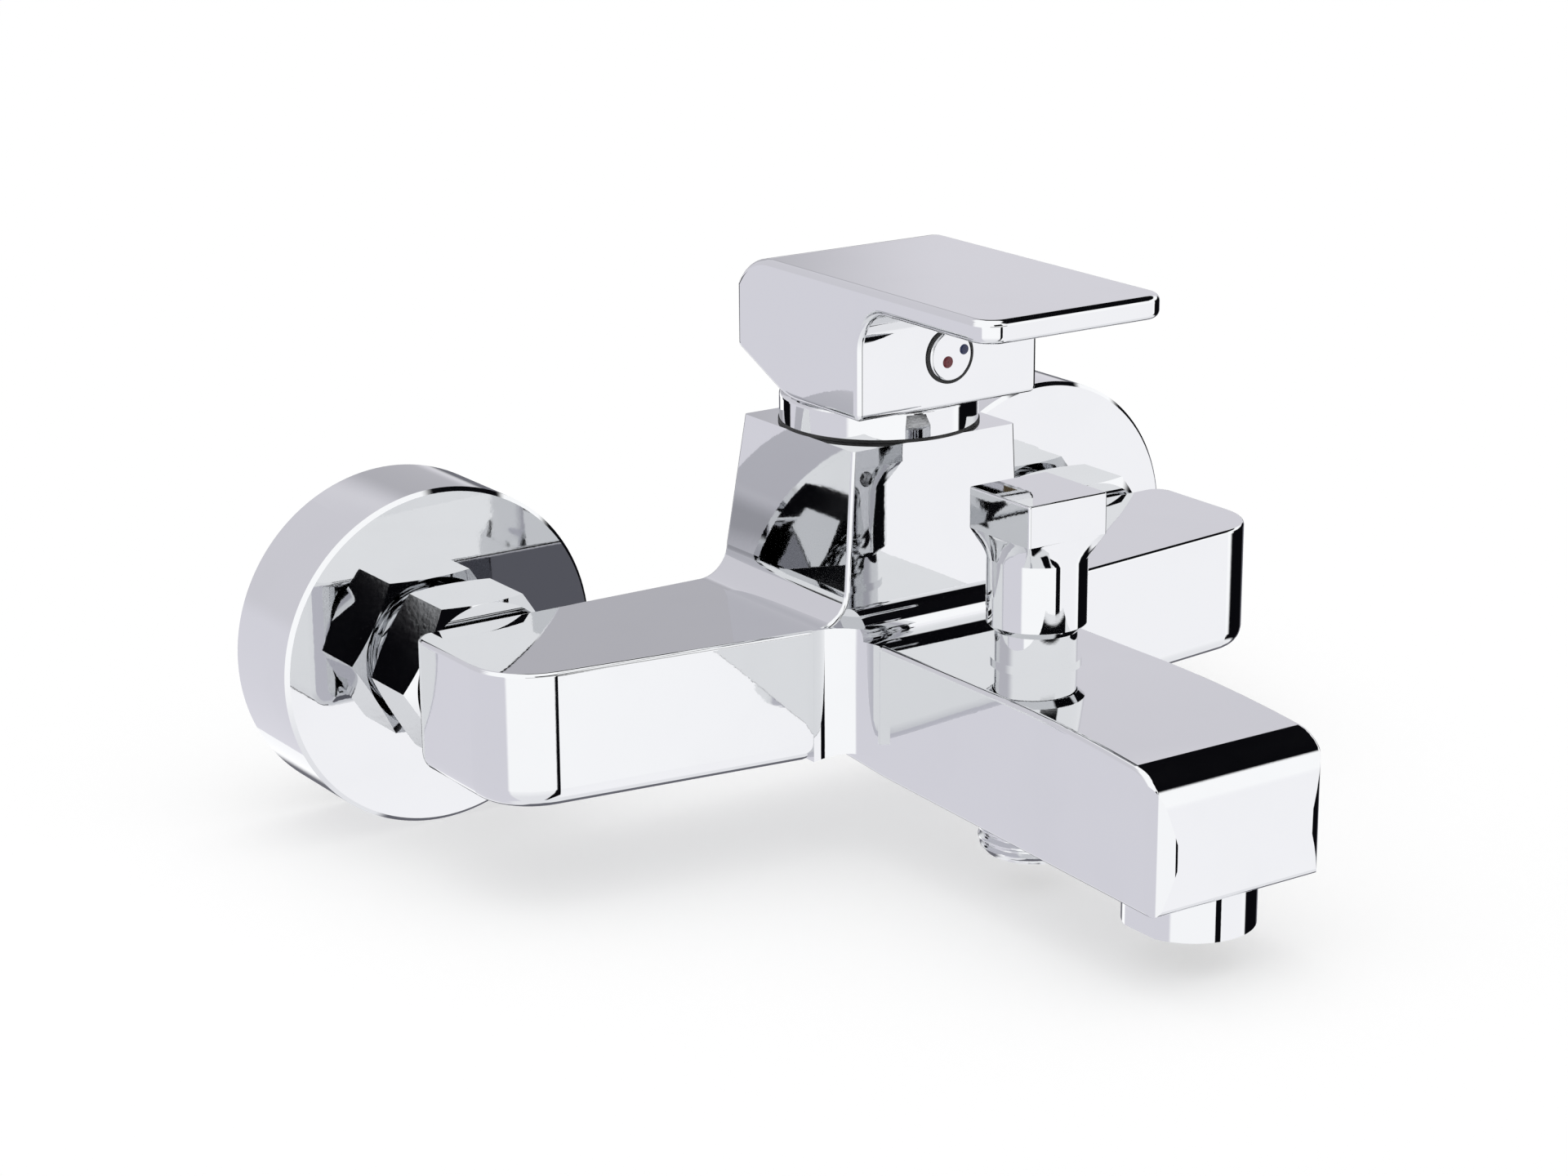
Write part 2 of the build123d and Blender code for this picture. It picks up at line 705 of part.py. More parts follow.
with BuildPart() as body_casting:
    add(arms_and_tower.part)
    add(spout_form.part)
    add(root_flares.part)
    underside = body_casting.edges().filter_by(
        lambda e: e.bounding_box().max.Z < face_gap - arm_bottom
        and e.bounding_box().min.Z > -arm_bottom - face_gap
        and (abs(e.center().X) > flare_half or e.center().Y > -arm_back - face_gap)
    )
    fillet(underside, arm_bottom_round)
    # Cartridge seat with its thread, its ports and the holes for the locating pins
    thread_floor = cap_nut_thread_start - cap_nut_lead_gap
    add(tube(cartridge_plane, seat_floor, thread_floor + cut_overrun, seat_radius), mode=Mode.SUBTRACT)
    add(tube(cartridge_plane, thread_floor, tower_top + cut_overrun, cap_thread_radius + thread_gap),
        mode=Mode.SUBTRACT)
    with BuildSketch(Plane.XY.offset(seat_floor)):
        with Locations((-port_spread, inlet_y), (port_spread, inlet_y)):
            Circle(port_radius)
    extrude(amount=channel_rise - seat_floor, mode=Mode.SUBTRACT)
    with BuildSketch(Plane.XY.offset(seat_floor)):
        with Locations((0, outlet_y)):
            Circle(outlet_port_radius)
    extrude(amount=-mixed_channel_drop - seat_floor, mode=Mode.SUBTRACT)
    with BuildSketch(Plane.XY.offset(seat_floor)):
        with Locations((-locating_pin_place, -cartridge_axis), (locating_pin_place, -cartridge_axis)):
            Circle(locating_pin_radius + running_gap)
    extrude(amount=-locating_pin_length - face_gap, mode=Mode.SUBTRACT)
    for side in (-1, 1):
        base = inlet_plane(side)
        add(tube(base, arm_back - cut_overrun, arm_back + seal_groove_depth, seal_groove_radius),
            mode=Mode.SUBTRACT)
        add(tube(base, arm_back, nipple_end + face_gap, nipple_thread_radius + thread_gap),
            mode=Mode.SUBTRACT)
        add(tube(base, arm_back, -channel_y + nipple_bore_radius / 2, nipple_bore_radius), mode=Mode.SUBTRACT)
        along_arm = Plane(origin=(side * channel_end, channel_y, channel_rise), z_dir=(side, 0, 0))
        add(tube(along_arm, 0, inlet_spacing / 2 - channel_end, channel_radius), mode=Mode.SUBTRACT)
    along_spout = Plane(origin=(0, outlet_y + mixed_channel_radius, -mixed_channel_drop), z_dir=(0, -1, 0))
    add(tube(along_spout, 0, diverter_axis + outlet_y + mixed_channel_radius, mixed_channel_radius),
        mode=Mode.SUBTRACT)
    # Diverter: outlet thread, chamber, seat hole, gallery and bonnet thread, from the bottom up
    add(turned(diverter_plane, [
        (0, -2 * spout_bottom),
        (outlet_face_radius, -2 * spout_bottom),
        (outlet_face_radius, -outlet_face),
        (outlet_upper_radius + thread_gap, -outlet_face),
        (outlet_upper_radius + thread_gap, lower_seat),
        (chamber_radius, lower_seat),
        (chamber_radius, upper_seat),
        (seat_hole_radius, upper_seat),
        (seat_hole_radius, upper_seat + seat_wall),
        (gallery_radius, upper_seat + seat_wall),
        (gallery_radius, bonnet_bottom),
        (bonnet_thread_radius + thread_gap, bonnet_bottom),
        (bonnet_thread_radius + thread_gap, spout_top - bonnet_seal_height),
        (bonnet_seal_radius, spout_top - bonnet_seal_height),
        (bonnet_seal_radius, spout_top + cut_overrun),
        (0, spout_top + cut_overrun),
    ]), mode=Mode.SUBTRACT)
    # Slot that carries the water on to the aerator, and the aerator's socket
    slope_start = Vector(0, -diverter_axis, upper_seat + seat_wall + spout_channel_height / 2)
    slope_end = Vector(0, -aerator_axis, -aerator_socket_top + spout_channel_height)
    slope = Plane(origin=slope_start, x_dir=(1, 0, 0), z_dir=slope_end - slope_start)
    with BuildSketch(slope):
        SlotOverall(spout_channel_width, spout_channel_height)
    extrude(amount=(slope_end - slope_start).length, mode=Mode.SUBTRACT)
    add(tube(aerator_plane, -2 * spout_tip_bottom, -aerator_face, aerator_face_radius), mode=Mode.SUBTRACT)
    add(tube(aerator_plane, -2 * spout_tip_bottom, -aerator_socket_top, aerator_thread_radius + thread_gap),
        mode=Mode.SUBTRACT)
    add(tube(aerator_plane, -aerator_socket_top - cut_overrun, -aerator_socket_top + 2 * spout_channel_height,
        gallery_radius), mode=Mode.SUBTRACT)
finish(body_casting.part, "body_casting")

# Cartridge: base with its locating pins, keys and port seals
inlet_ports = [(-port_spread, inlet_y), (port_spread, inlet_y)]
all_ports = inlet_ports + [(0, outlet_y)]


def port_holes(height, depth):
    """The two supply holes and the mixed hole, as rods going up from a height."""
    with BuildPart() as rods:
        with BuildSketch(Plane.XY.offset(height)):
            with Locations(*inlet_ports):
                Circle(port_radius)
            with Locations((0, outlet_y)):
                Circle(outlet_port_radius)
        extrude(amount=depth)
    return rods.part


def beside_axis(distance):
    """Two places either side of the cartridge's axis."""
    return Locations((-distance, -cartridge_axis), (distance, -cartridge_axis))


with BuildPart() as cartridge_base:
    add(tube(cartridge_plane, seat_floor, base_top, housing_radius))
    with BuildSketch(Plane.XY.offset(seat_floor)):
        with beside_axis(locating_pin_place):
            Circle(locating_pin_radius)
    extrude(amount=-locating_pin_length)
    with BuildSketch(Plane.XY.offset(base_top)):
        with beside_axis(disc_key_place):
            Circle(disc_key_radius)
    extrude(amount=disc_key_height)
    add(port_holes(seat_floor - cut_overrun, base_height + 2 * cut_overrun), mode=Mode.SUBTRACT)
    with BuildSketch(Plane.XY.offset(seat_floor)):
        with Locations(*all_ports):
            Circle(base_seal_radius)
    extrude(amount=base_seal_height, mode=Mode.SUBTRACT)
finish(cartridge_base.part, "cartridge_base")

with BuildPart() as cartridge_seals:
    with BuildSketch(Plane.XY.offset(seat_floor)):
        with Locations(*all_ports):
            Circle(base_seal_radius - seal_slack)
            Circle(base_seal_bore, mode=Mode.SUBTRACT)
    extrude(amount=base_seal_height)
finish(cartridge_seals.part, "cartridge_seals")

# Cartridge: the two ceramic discs and the carrier that slides the upper one
with BuildPart() as fixed_disc:
    add(tube(cartridge_plane, base_top, disc_top, disc_radius))
    with BuildSketch(Plane.XY.offset(base_top)):
        with beside_axis(disc_key_place):
            Circle(disc_key_radius + running_gap)
    extrude(amount=fixed_disc_height, mode=Mode.SUBTRACT)
    add(port_holes(base_top - cut_overrun, fixed_disc_height + 2 * cut_overrun), mode=Mode.SUBTRACT)
finish(fixed_disc.part, "fixed_disc")

with BuildPart() as moving_disc:
    add(tube(cartridge_plane, disc_top, moving_top, moving_disc_radius))
    with BuildSketch(Plane.XY.offset(disc_top)):
        with Locations((0, mixing_recess_reach / 2 - cartridge_axis)):
            SlotCenterToCenter(mixing_recess_reach, 2 * mixing_recess_radius, rotation=90)
    extrude(amount=mixing_recess_height, mode=Mode.SUBTRACT)
finish(moving_disc.part, "moving_disc")

finish(turned(cartridge_plane, [
    (0, moving_top),
    (carrier_radius, moving_top),
    (carrier_radius, carrier_top),
    (carrier_socket_radius, carrier_top),
    (carrier_socket_radius, carrier_top - carrier_socket_depth),
    (0, carrier_top - carrier_socket_depth),
]), "disc_carrier")

# Cartridge: housing with two ribs that stop the holder's lug
holder_bore = holder_radius + holder_gap
with BuildPart() as cartridge_housing:
    add(turned(cartridge_plane, [
        (housing_inner_radius, base_top),
        (housing_radius, base_top),
        (housing_radius, housing_shoulder),
        (housing_neck_radius, housing_shoulder),
        (housing_neck_radius, housing_top),
        (holder_bore, housing_top),
        (holder_bore, housing_ceiling),
        (housing_inner_radius, housing_ceiling),
    ]))
    for turn in (-stop_rib_angle, stop_rib_angle):
        rib_middle = (stop_rib_inner_radius + housing_inner_radius + face_gap) / 2
        rib_plane = Plane(origin=(0, -cartridge_axis, housing_ceiling)).rotated((0, 0, turn))
        with BuildSketch(rib_plane):
            with Locations((0, rib_middle)):
                Rectangle(stop_rib_width, housing_inner_radius + face_gap - stop_rib_inner_radius)
        extrude(amount=-stop_rib_height)
finish(cartridge_housing.part, "cartridge_housing")

# Cartridge: the turning holder, slotted for the stem and grooved for its seal
with BuildPart() as stem_holder:
    seal_top = holder_seal_bottom + holder_seal_height
    flange_top = holder_bottom + holder_flange_height
    add(turned(cartridge_plane, [
        (0, holder_bottom),
        (holder_flange_radius, holder_bottom),
        (holder_flange_radius, flange_top),
        (holder_radius, flange_top),
        (holder_radius, holder_seal_bottom),
        (holder_groove_radius, holder_seal_bottom),
        (holder_groove_radius, seal_top),
        (holder_radius, seal_top),
        (holder_radius, holder_top),
        (0, holder_top),
    ]))
    with BuildSketch(Plane.XY.offset(holder_bottom)):
        with Locations((0, stop_lug_radius / 2 + holder_radius / 2 - cartridge_axis)):
            Rectangle(stop_lug_width, stop_lug_radius - holder_radius)
    extrude(amount=holder_flange_height)
    with BuildSketch(Plane.XY.offset(holder_bottom)):
        with Locations((0, (low_slot_back - low_slot_front) / 2 - cartridge_axis)):
            Rectangle(holder_slot_width, low_slot_front + low_slot_back)
    extrude(amount=pivot_height - holder_bottom, mode=Mode.SUBTRACT)
    with BuildSketch(Plane.XY.offset(pivot_height)):
        with Locations((0, (high_slot_back - high_slot_front) / 2 - cartridge_axis)):
            Rectangle(holder_slot_width, high_slot_front + high_slot_back)
    extrude(amount=holder_top - pivot_height, mode=Mode.SUBTRACT)
    across = Plane(origin=(0, -cartridge_axis, pivot_height), z_dir=(1, 0, 0))
    add(tube(across, -pivot_pin_length, pivot_pin_length, pivot_pin_radius + seal_slack), mode=Mode.SUBTRACT)
finish(stem_holder.part, "stem_holder")

finish(tube(across, -pivot_pin_length / 2, pivot_pin_length / 2, pivot_pin_radius), "stem_pin")

holder_wire = (holder_bore - holder_groove_radius) / 2
finish(o_ring(
    cartridge_plane,
    holder_seal_bottom + holder_seal_height / 2,
    holder_groove_radius + holder_wire,
    holder_wire - seal_slack,
), "holder_seal")

with BuildPart() as cartridge_stem:
    add(tube(across, -stem_square / 2, stem_square / 2, stem_square / 2))
    with BuildSketch(Plane.XY.offset(pivot_height)):
        with Locations((0, -cartridge_axis)):
            Rectangle(stem_square, stem_square)
    extrude(amount=stem_top - pivot_height)
    add(tube(cartridge_plane, pivot_height - stem_ball_drop, pivot_height, stem_arm_radius))
    with Locations((0, -cartridge_axis, pivot_height - stem_ball_drop)):
        Sphere(stem_ball_radius)
    add(tube(across, -stem_square, stem_square, pivot_pin_radius + running_gap), mode=Mode.SUBTRACT)
    chamfer(cartridge_stem.faces().sort_by(Axis.Z)[-1].edges(), thread_chamfer)
finish(cartridge_stem.part, "cartridge_stem")

# Slotted nut that holds the cartridge down, and the ring that covers it
with BuildPart() as retaining_nut:
    add(turned(cartridge_plane, [
        (cap_nut_bore, housing_shoulder),
        (housing_radius, housing_shoulder),
        (housing_radius, cap_nut_thread_start),
        (cap_thread_radius, cap_nut_thread_start),
        (cap_thread_radius, cap_nut_thread_end),
        (cap_nut_upper_radius, cap_nut_thread_end),
        (cap_nut_upper_radius, housing_top),
        (cap_nut_bore, housing_top),
    ]))
    with BuildSketch(Plane.XY.offset(housing_top)):
        with Locations((0, -cartridge_axis)):
            Rectangle(2 * cap_thread_radius, cap_nut_slot_width)
            Rectangle(cap_nut_slot_width, 2 * cap_thread_radius)
    extrude(amount=-cap_nut_slot_depth, mode=Mode.SUBTRACT)
finish(retaining_nut.part, "retaining_nut")

with BuildPart() as dome_ring:
    ring_bore = cap_nut_upper_radius + thread_gap
    add(turned(cartridge_plane, [
        (dome_radius - dome_wall, tower_top),
        (dome_radius, tower_top),
        (dome_radius, dome_side_top),
        (dome_hole_radius, dome_crown_top),
        (dome_hole_radius, dome_ceiling),
        (ring_bore, dome_ceiling),
        (ring_bore, tower_top),
        (ring_bore + dome_wall, tower_top),
        (ring_bore + dome_wall, dome_ceiling),
        (dome_radius - dome_wall, dome_ceiling),
    ]))
    rim = dome_ring.edges().filter_by(GeomType.CIRCLE).filter_by(
        lambda e: abs(e.radius - dome_radius) < face_gap and e.center().Z > dome_ceiling
    )
    fillet(rim, dome_edge_round)
finish(dome_ring.part, "dome_ring")

# Lever: a side view crossed with a plan, then hollowed from below around a boss for the stem
with BuildPart() as lever_handle:
    with BuildSketch(Plane.YZ) as lever_side:
        with BuildLine():
            Polyline(
                (-lever_front, lever_bottom),
                (-lever_front, lever_top - lever_plate),
                (-lever_tip, lever_top - lever_plate),
                (-lever_tip, lever_top),
                (-lever_back, lever_top),
                (-lever_back, lever_bottom + lever_slant_rise),
                (-lever_slant_start, lever_bottom),
                close=True,
            )
        make_face()
        side_corners = lever_side.vertices()
        throat = side_corners.filter_by(lambda v: abs(v.X + lever_front) < face_gap).sort_by(Axis.Y)[-1]
        fillet(throat, lever_throat_radius)
        back_top = lever_side.vertices().filter_by(lambda v: v.X > -lever_back - face_gap).sort_by(Axis.Y)[-1]
        fillet(back_top, lever_back_radius)
        slant_corner = lever_side.vertices().filter_by(
            lambda v: abs(v.X + lever_slant_start) < face_gap and v.Y < lever_bottom + face_gap
        )
        fillet(slant_corner, lever_slant_round)
    extrude(amount=lever_half_width + cut_overrun, both=True)
    with BuildSketch(Plane.XY.offset(lever_bottom - cut_overrun)) as lever_plan:
        with BuildLine():
            bowed = ThreePointArc(
                (-lever_half_width, -lever_back - lever_back_bow),
                (0, -lever_back),
                (lever_half_width, -lever_back - lever_back_bow),
            )
            Polyline(
                bowed @ 1,
                (lever_half_width, -lever_tip),
                (-lever_half_width, -lever_tip),
                bowed @ 0,
            )
        make_face()
        fillet(lever_plan.vertices().group_by(Axis.Y)[0], lever_tip_corner)
    extrude(amount=2 * (lever_top - lever_bottom), mode=Mode.INTERSECT)
    corner_start = lever_tip_corner - lever_tip
    side_edges = lever_handle.edges().filter_by(
        lambda e: abs(e.center().X) > lever_half_width - face_gap
        and abs(e.center().Y - corner_start) > face_gap
    )
    tip_edges = lever_handle.edges().filter_by(
        lambda e: e.center().Y < corner_start and e.bounding_box().size.Z < face_gap
    )
    low_edges = lever_handle.edges().filter_by(
        lambda e: e.bounding_box().max.Y < face_gap - lever_front
        and e.bounding_box().max.Z < lever_bottom + face_gap
    )
    rear_edges = lever_handle.edges().filter_by(
        lambda e: e.center().Y > -lever_back - lever_back_wall and e.bounding_box().size.X > lever_back_bow
        and e.center().Z < plug_height
    )
    fillet(side_edges + tip_edges + low_edges + rear_edges, lever_edge_round)
    stem_back = -cartridge_axis + lever_boss_back
    cavity_front = -lever_front + lever_front_wall
    cavity_back = -lever_back - lever_back_wall
    cavity_half = lever_half_width - lever_side_wall
    with BuildSketch(Plane.XY.offset(lever_bottom - cut_overrun)):
        with Locations((0, (cavity_front + cavity_back) / 2)):
            Rectangle(2 * cavity_half, cavity_back - cavity_front)
    extrude(amount=lever_ceiling - lever_bottom + cut_overrun, mode=Mode.SUBTRACT)
    with BuildSketch(Plane.XY.offset(lever_ceiling)):
        with Locations((0, (cavity_front + cavity_back) / 2)):
            Rectangle(2 * cavity_half, cavity_back - cavity_front)
        with Locations((0, (cavity_front + stem_back) / 2)):
            Rectangle(2 * lever_boss_half_width, stem_back - cavity_front, mode=Mode.SUBTRACT)
    extrude(amount=lever_pocket_top - lever_ceiling, mode=Mode.SUBTRACT)
    with BuildSketch(Plane.XY.offset(lever_ceiling)):
        with Locations((0, -cartridge_axis)):
            Rectangle(stem_square + 2 * socket_gap, stem_square + 2 * socket_gap)
    extrude(amount=stem_top - lever_ceiling + face_gap, mode=Mode.SUBTRACT)
    screw_plane = Plane(origin=(0, -lever_front, plug_height), x_dir=(1, 0, 0), z_dir=(0, 1, 0))
    screw_end = lever_front - cartridge_axis - stem_square / 2
    screw_hole = set_screw_radius + thread_gap
    add(tube(screw_plane, -cut_overrun, plug_recess, plug_radius + running_gap), mode=Mode.SUBTRACT)
    add(tube(screw_plane, plug_recess, screw_end, screw_hole), mode=Mode.SUBTRACT)
finish(lever_handle.part, "lever_handle")

with BuildPart() as handle_set_screw:
    add(tube(screw_plane, screw_end - set_screw_length, screw_end, set_screw_radius))
    with BuildSketch(screw_plane.offset(screw_end - set_screw_length)):
        RegularPolygon(set_screw_hex / 2, 6, major_radius=False)
    extrude(amount=set_screw_hex_depth, mode=Mode.SUBTRACT)
finish(handle_set_screw.part, "handle_set_screw")

with BuildPart() as indicator_plug:
    add(turned(screw_plane, [
        (0, -plug_crown),
        (plug_radius, -plug_crown),
        (plug_radius, plug_recess),
        (plug_tail_radius, plug_recess),
        (plug_tail_radius, plug_recess + plug_tail_length),
        (0, plug_recess + plug_tail_length),
    ]))
    fillet(indicator_plug.edges().sort_by(Axis.Y)[0], plug_crown_round)
finish(indicator_plug.part, "indicator_plug")

# Diverter: bonnet with its seals
stem_bore = diverter_stem_radius + running_gap
stem_seal_top = stem_seal_bottom + stem_seal_height
finish(turned(diverter_plane, [
    (spring_pocket_radius, bonnet_bottom),
    (bonnet_thread_radius, bonnet_bottom),
    (bonnet_thread_radius, spout_top),
    (bonnet_collar_radius, spout_top),
    (bonnet_collar_radius, spout_top + bonnet_collar_height),
    (bonnet_radius, spout_top + bonnet_collar_height),
    (bonnet_radius, bonnet_top),
    (stem_bore, bonnet_top),
    (stem_bore, stem_seal_top),
    (stem_seal_radius, stem_seal_top),
    (stem_seal_radius, stem_seal_bottom),
    (stem_bore, stem_seal_bottom),
    (stem_bore, spring_pocket_top),
    (spring_pocket_radius, spring_pocket_top),
]), "diverter_bonnet")

finish(tube(
    diverter_plane,
    spout_top - bonnet_seal_height,
    spout_top,
    bonnet_seal_radius - seal_slack,
    bonnet_thread_radius + thread_gap,
), "bonnet_seal")

stem_wire = (stem_seal_radius - diverter_stem_radius) / 2
finish(o_ring(
    diverter_plane,
    stem_seal_bottom + stem_seal_height / 2,
    diverter_stem_radius + stem_wire,
    stem_wire - seal_slack,
), "stem_seal")

# Diverter: knob, square above and round below, hollow over the bonnet
with BuildPart() as diverter_knob:
    add(tube(diverter_plane, knob_bottom, knob_round_top, knob_round_radius))
    chamfer(diverter_knob.faces().sort_by(Axis.Z)[0].edges(), knob_bottom_chamfer)
    with BuildSketch(Plane.XY.offset(knob_round_top)):
        with Locations((0, -diverter_axis)):
            Circle(knob_round_radius)
    with BuildSketch(Plane.XY.offset(knob_square_bottom)):
        with Locations((0, -diverter_axis)):
            RectangleRounded(knob_width, knob_width, knob_corner_round)
    loft()
    with BuildSketch(Plane.XY.offset(knob_square_bottom)):
        with Locations((0, -diverter_axis)):
            RectangleRounded(knob_width, knob_width, knob_corner_round)
    extrude(amount=knob_top - knob_square_bottom)
    fillet(diverter_knob.faces().sort_by(Axis.Z)[-1].edges(), knob_top_round)
    add(tube(diverter_plane, knob_bottom - cut_overrun, knob_skirt_top, knob_skirt_radius),
        mode=Mode.SUBTRACT)
    add(tube(diverter_plane, knob_skirt_top, knob_hole_top, diverter_stem_radius + seal_slack),
        mode=Mode.SUBTRACT)
    knob_screw_plane = Plane(origin=(0, -diverter_axis, knob_screw_height), x_dir=(1, 0, 0), z_dir=(0, 1, 0))
    add(tube(knob_screw_plane, 0, knob_width, knob_screw_radius + thread_gap), mode=Mode.SUBTRACT)
finish(diverter_knob.part, "diverter_knob")

knob_screw_end = diverter_stem_radius + knob_screw_length
with BuildPart() as knob_screw:
    add(tube(knob_screw_plane, diverter_stem_radius, knob_screw_end, knob_screw_radius))
    with BuildSketch(knob_screw_plane.offset(knob_screw_end)):
        RegularPolygon(knob_screw_hex / 2, 6, major_radius=False)
    extrude(amount=-knob_screw_hex_depth, mode=Mode.SUBTRACT)
finish(knob_screw.part, "knob_screw")

# Diverter: stem, and the piston's disc, two seals and nut, from the shoulder down
upper_seal_top = lower_seat + 2 * piston_seal_height + piston_height
shoulder_top = upper_seal_top + stem_shoulder_height
finish(turned(diverter_plane, [
    (0, -diverter_stem_bottom),
    (diverter_stem_radius, -diverter_stem_bottom),
    (diverter_stem_radius, upper_seal_top),
    (stem_shoulder_radius, upper_seal_top),
    (stem_shoulder_radius, shoulder_top),
    (diverter_stem_radius, shoulder_top),
    (diverter_stem_radius, diverter_stem_top),
    (0, diverter_stem_top),
]), "diverter_stem")

piston_bore = diverter_stem_radius + seal_slack
piston_start = lower_seat + piston_seal_height
piston_end = piston_start + piston_height
finish(tube(diverter_plane, piston_start, piston_end, piston_radius, piston_bore), "piston_disc")

with BuildPart() as piston_seals:
    add(tube(diverter_plane, lower_seat, piston_start, piston_seal_radius, piston_bore))
    add(tube(diverter_plane, piston_end, upper_seal_top, piston_seal_radius, piston_bore))
finish(piston_seals.part, "piston_seals")

with BuildPart() as piston_nut:
    with BuildSketch(diverter_plane.offset(lower_seat)):
        RegularPolygon(piston_nut_radius, 6)
        Circle(piston_bore, mode=Mode.SUBTRACT)
    extrude(amount=-piston_nut_height)
finish(piston_nut.part, "piston_nut")

# Diverter spring: a coil with both ends ground flat
spring_length = spring_pocket_top - shoulder_top
with BuildPart() as diverter_spring:
    pitch = (spring_length + 2 * spring_wire_radius) / spring_turns
    coil_start = shoulder_top - spring_wire_radius
    coil = Helix(pitch, pitch * spring_turns, spring_coil_radius)
    coil_path = Pos(0, -diverter_axis, coil_start) * coil
    with BuildSketch(Plane(origin=coil_path @ 0, z_dir=coil_path % 0)):
        Circle(spring_wire_radius)
    sweep(path=coil_path, is_frenet=True)
    with BuildSketch(diverter_plane.offset(shoulder_top)):
        Circle(spring_pocket_radius)
    extrude(amount=spring_length, mode=Mode.INTERSECT)
finish(diverter_spring.part, "diverter_spring")

# Shower outlet: nipple with a hexagon inside for its key, and its washer
with BuildPart() as outlet_nipple:
    nipple_top = -outlet_face - outlet_washer_height
    add(turned(diverter_plane, [
        (outlet_bore_radius, lower_seat),
        (outlet_upper_radius, lower_seat),
        (outlet_upper_radius, nipple_top),
        (outlet_thread_radius, nipple_top),
        (outlet_thread_radius, thread_chamfer - outlet_bottom),
        (outlet_thread_radius - thread_chamfer, -outlet_bottom),
        (outlet_bore_radius, -outlet_bottom),
    ]))
    with BuildSketch(diverter_plane.offset(-outlet_bottom)):
        RegularPolygon(outlet_bore_radius, 6, major_radius=False)
    extrude(amount=outlet_key_depth, mode=Mode.SUBTRACT)
finish(outlet_nipple.part, "outlet_nipple")

finish(tube(
    diverter_plane,
    nipple_top,
    -outlet_face,
    outlet_washer_radius,
    outlet_upper_radius + thread_gap,
), "outlet_washer")

# Aerator: seal, housing with wrench flats, insert and mesh
seal_bottom = -aerator_socket_top - aerator_seal_height
mesh_bottom = aerator_lip - aerator_bottom
mesh_top = mesh_bottom + mesh_height
finish(tube(
    aerator_plane,
    seal_bottom,
    -aerator_socket_top,
    aerator_thread_radius,
    aerator_seal_bore,
), "aerator_seal")

with BuildPart() as aerator_housing:
    ring_top = -aerator_face - face_gap
    add(turned(aerator_plane, [
        (aerator_bore_radius, seal_bottom),
        (aerator_thread_radius, seal_bottom),
        (aerator_thread_radius, ring_top),
        (aerator_radius, ring_top),
        (aerator_radius, -aerator_bottom),
        (aerator_lip_radius, -aerator_bottom),
        (aerator_lip_radius, mesh_bottom),
        (aerator_bore_radius, mesh_bottom),
    ]))
    with BuildSketch(aerator_plane.offset(-aerator_bottom)):
        with Locations((-aerator_radius, 0), (aerator_radius, 0)):
            Rectangle(2 * aerator_flat_depth, 2 * aerator_radius)
    extrude(amount=aerator_flat_height, mode=Mode.SUBTRACT)
finish(aerator_housing.part, "aerator_housing")

insert_radius = aerator_bore_radius - running_gap
with BuildPart() as aerator_insert:
    add(turned(aerator_plane, [
        (0, seal_bottom - insert_plate),
        (insert_skirt_radius, seal_bottom - insert_plate),
        (insert_skirt_radius, mesh_top),
        (insert_radius, mesh_top),
        (insert_radius, seal_bottom),
        (0, seal_bottom),
    ]))
    with BuildSketch(aerator_plane.offset(seal_bottom)):
        with PolarLocations(insert_inner_circle, insert_inner_count):
            Circle(insert_hole_radius)
        with PolarLocations(insert_outer_circle, insert_outer_count):
            Circle(insert_hole_radius)
    extrude(amount=-insert_plate, mode=Mode.SUBTRACT)
finish(aerator_insert.part, "aerator_insert")

mesh_window = mesh_pitch - mesh_bar
mesh_lines = 2 * int(mesh_rim_radius / mesh_pitch) + 1
with BuildPart() as aerator_mesh:
    with BuildSketch(aerator_plane.offset(mesh_bottom)):
        Circle(insert_radius)
        with BuildSketch(mode=Mode.SUBTRACT):
            with GridLocations(mesh_pitch, mesh_pitch, mesh_lines, mesh_lines):
                Rectangle(mesh_window, mesh_window)
            Circle(mesh_rim_radius, mode=Mode.INTERSECT)
    extrude(amount=mesh_height)
finish(aerator_mesh.part, "aerator_mesh")
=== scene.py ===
import bpy
import bmesh
import json
from math import atan2, cos, pi, radians, sin, tan
from mathutils import Matrix, Vector


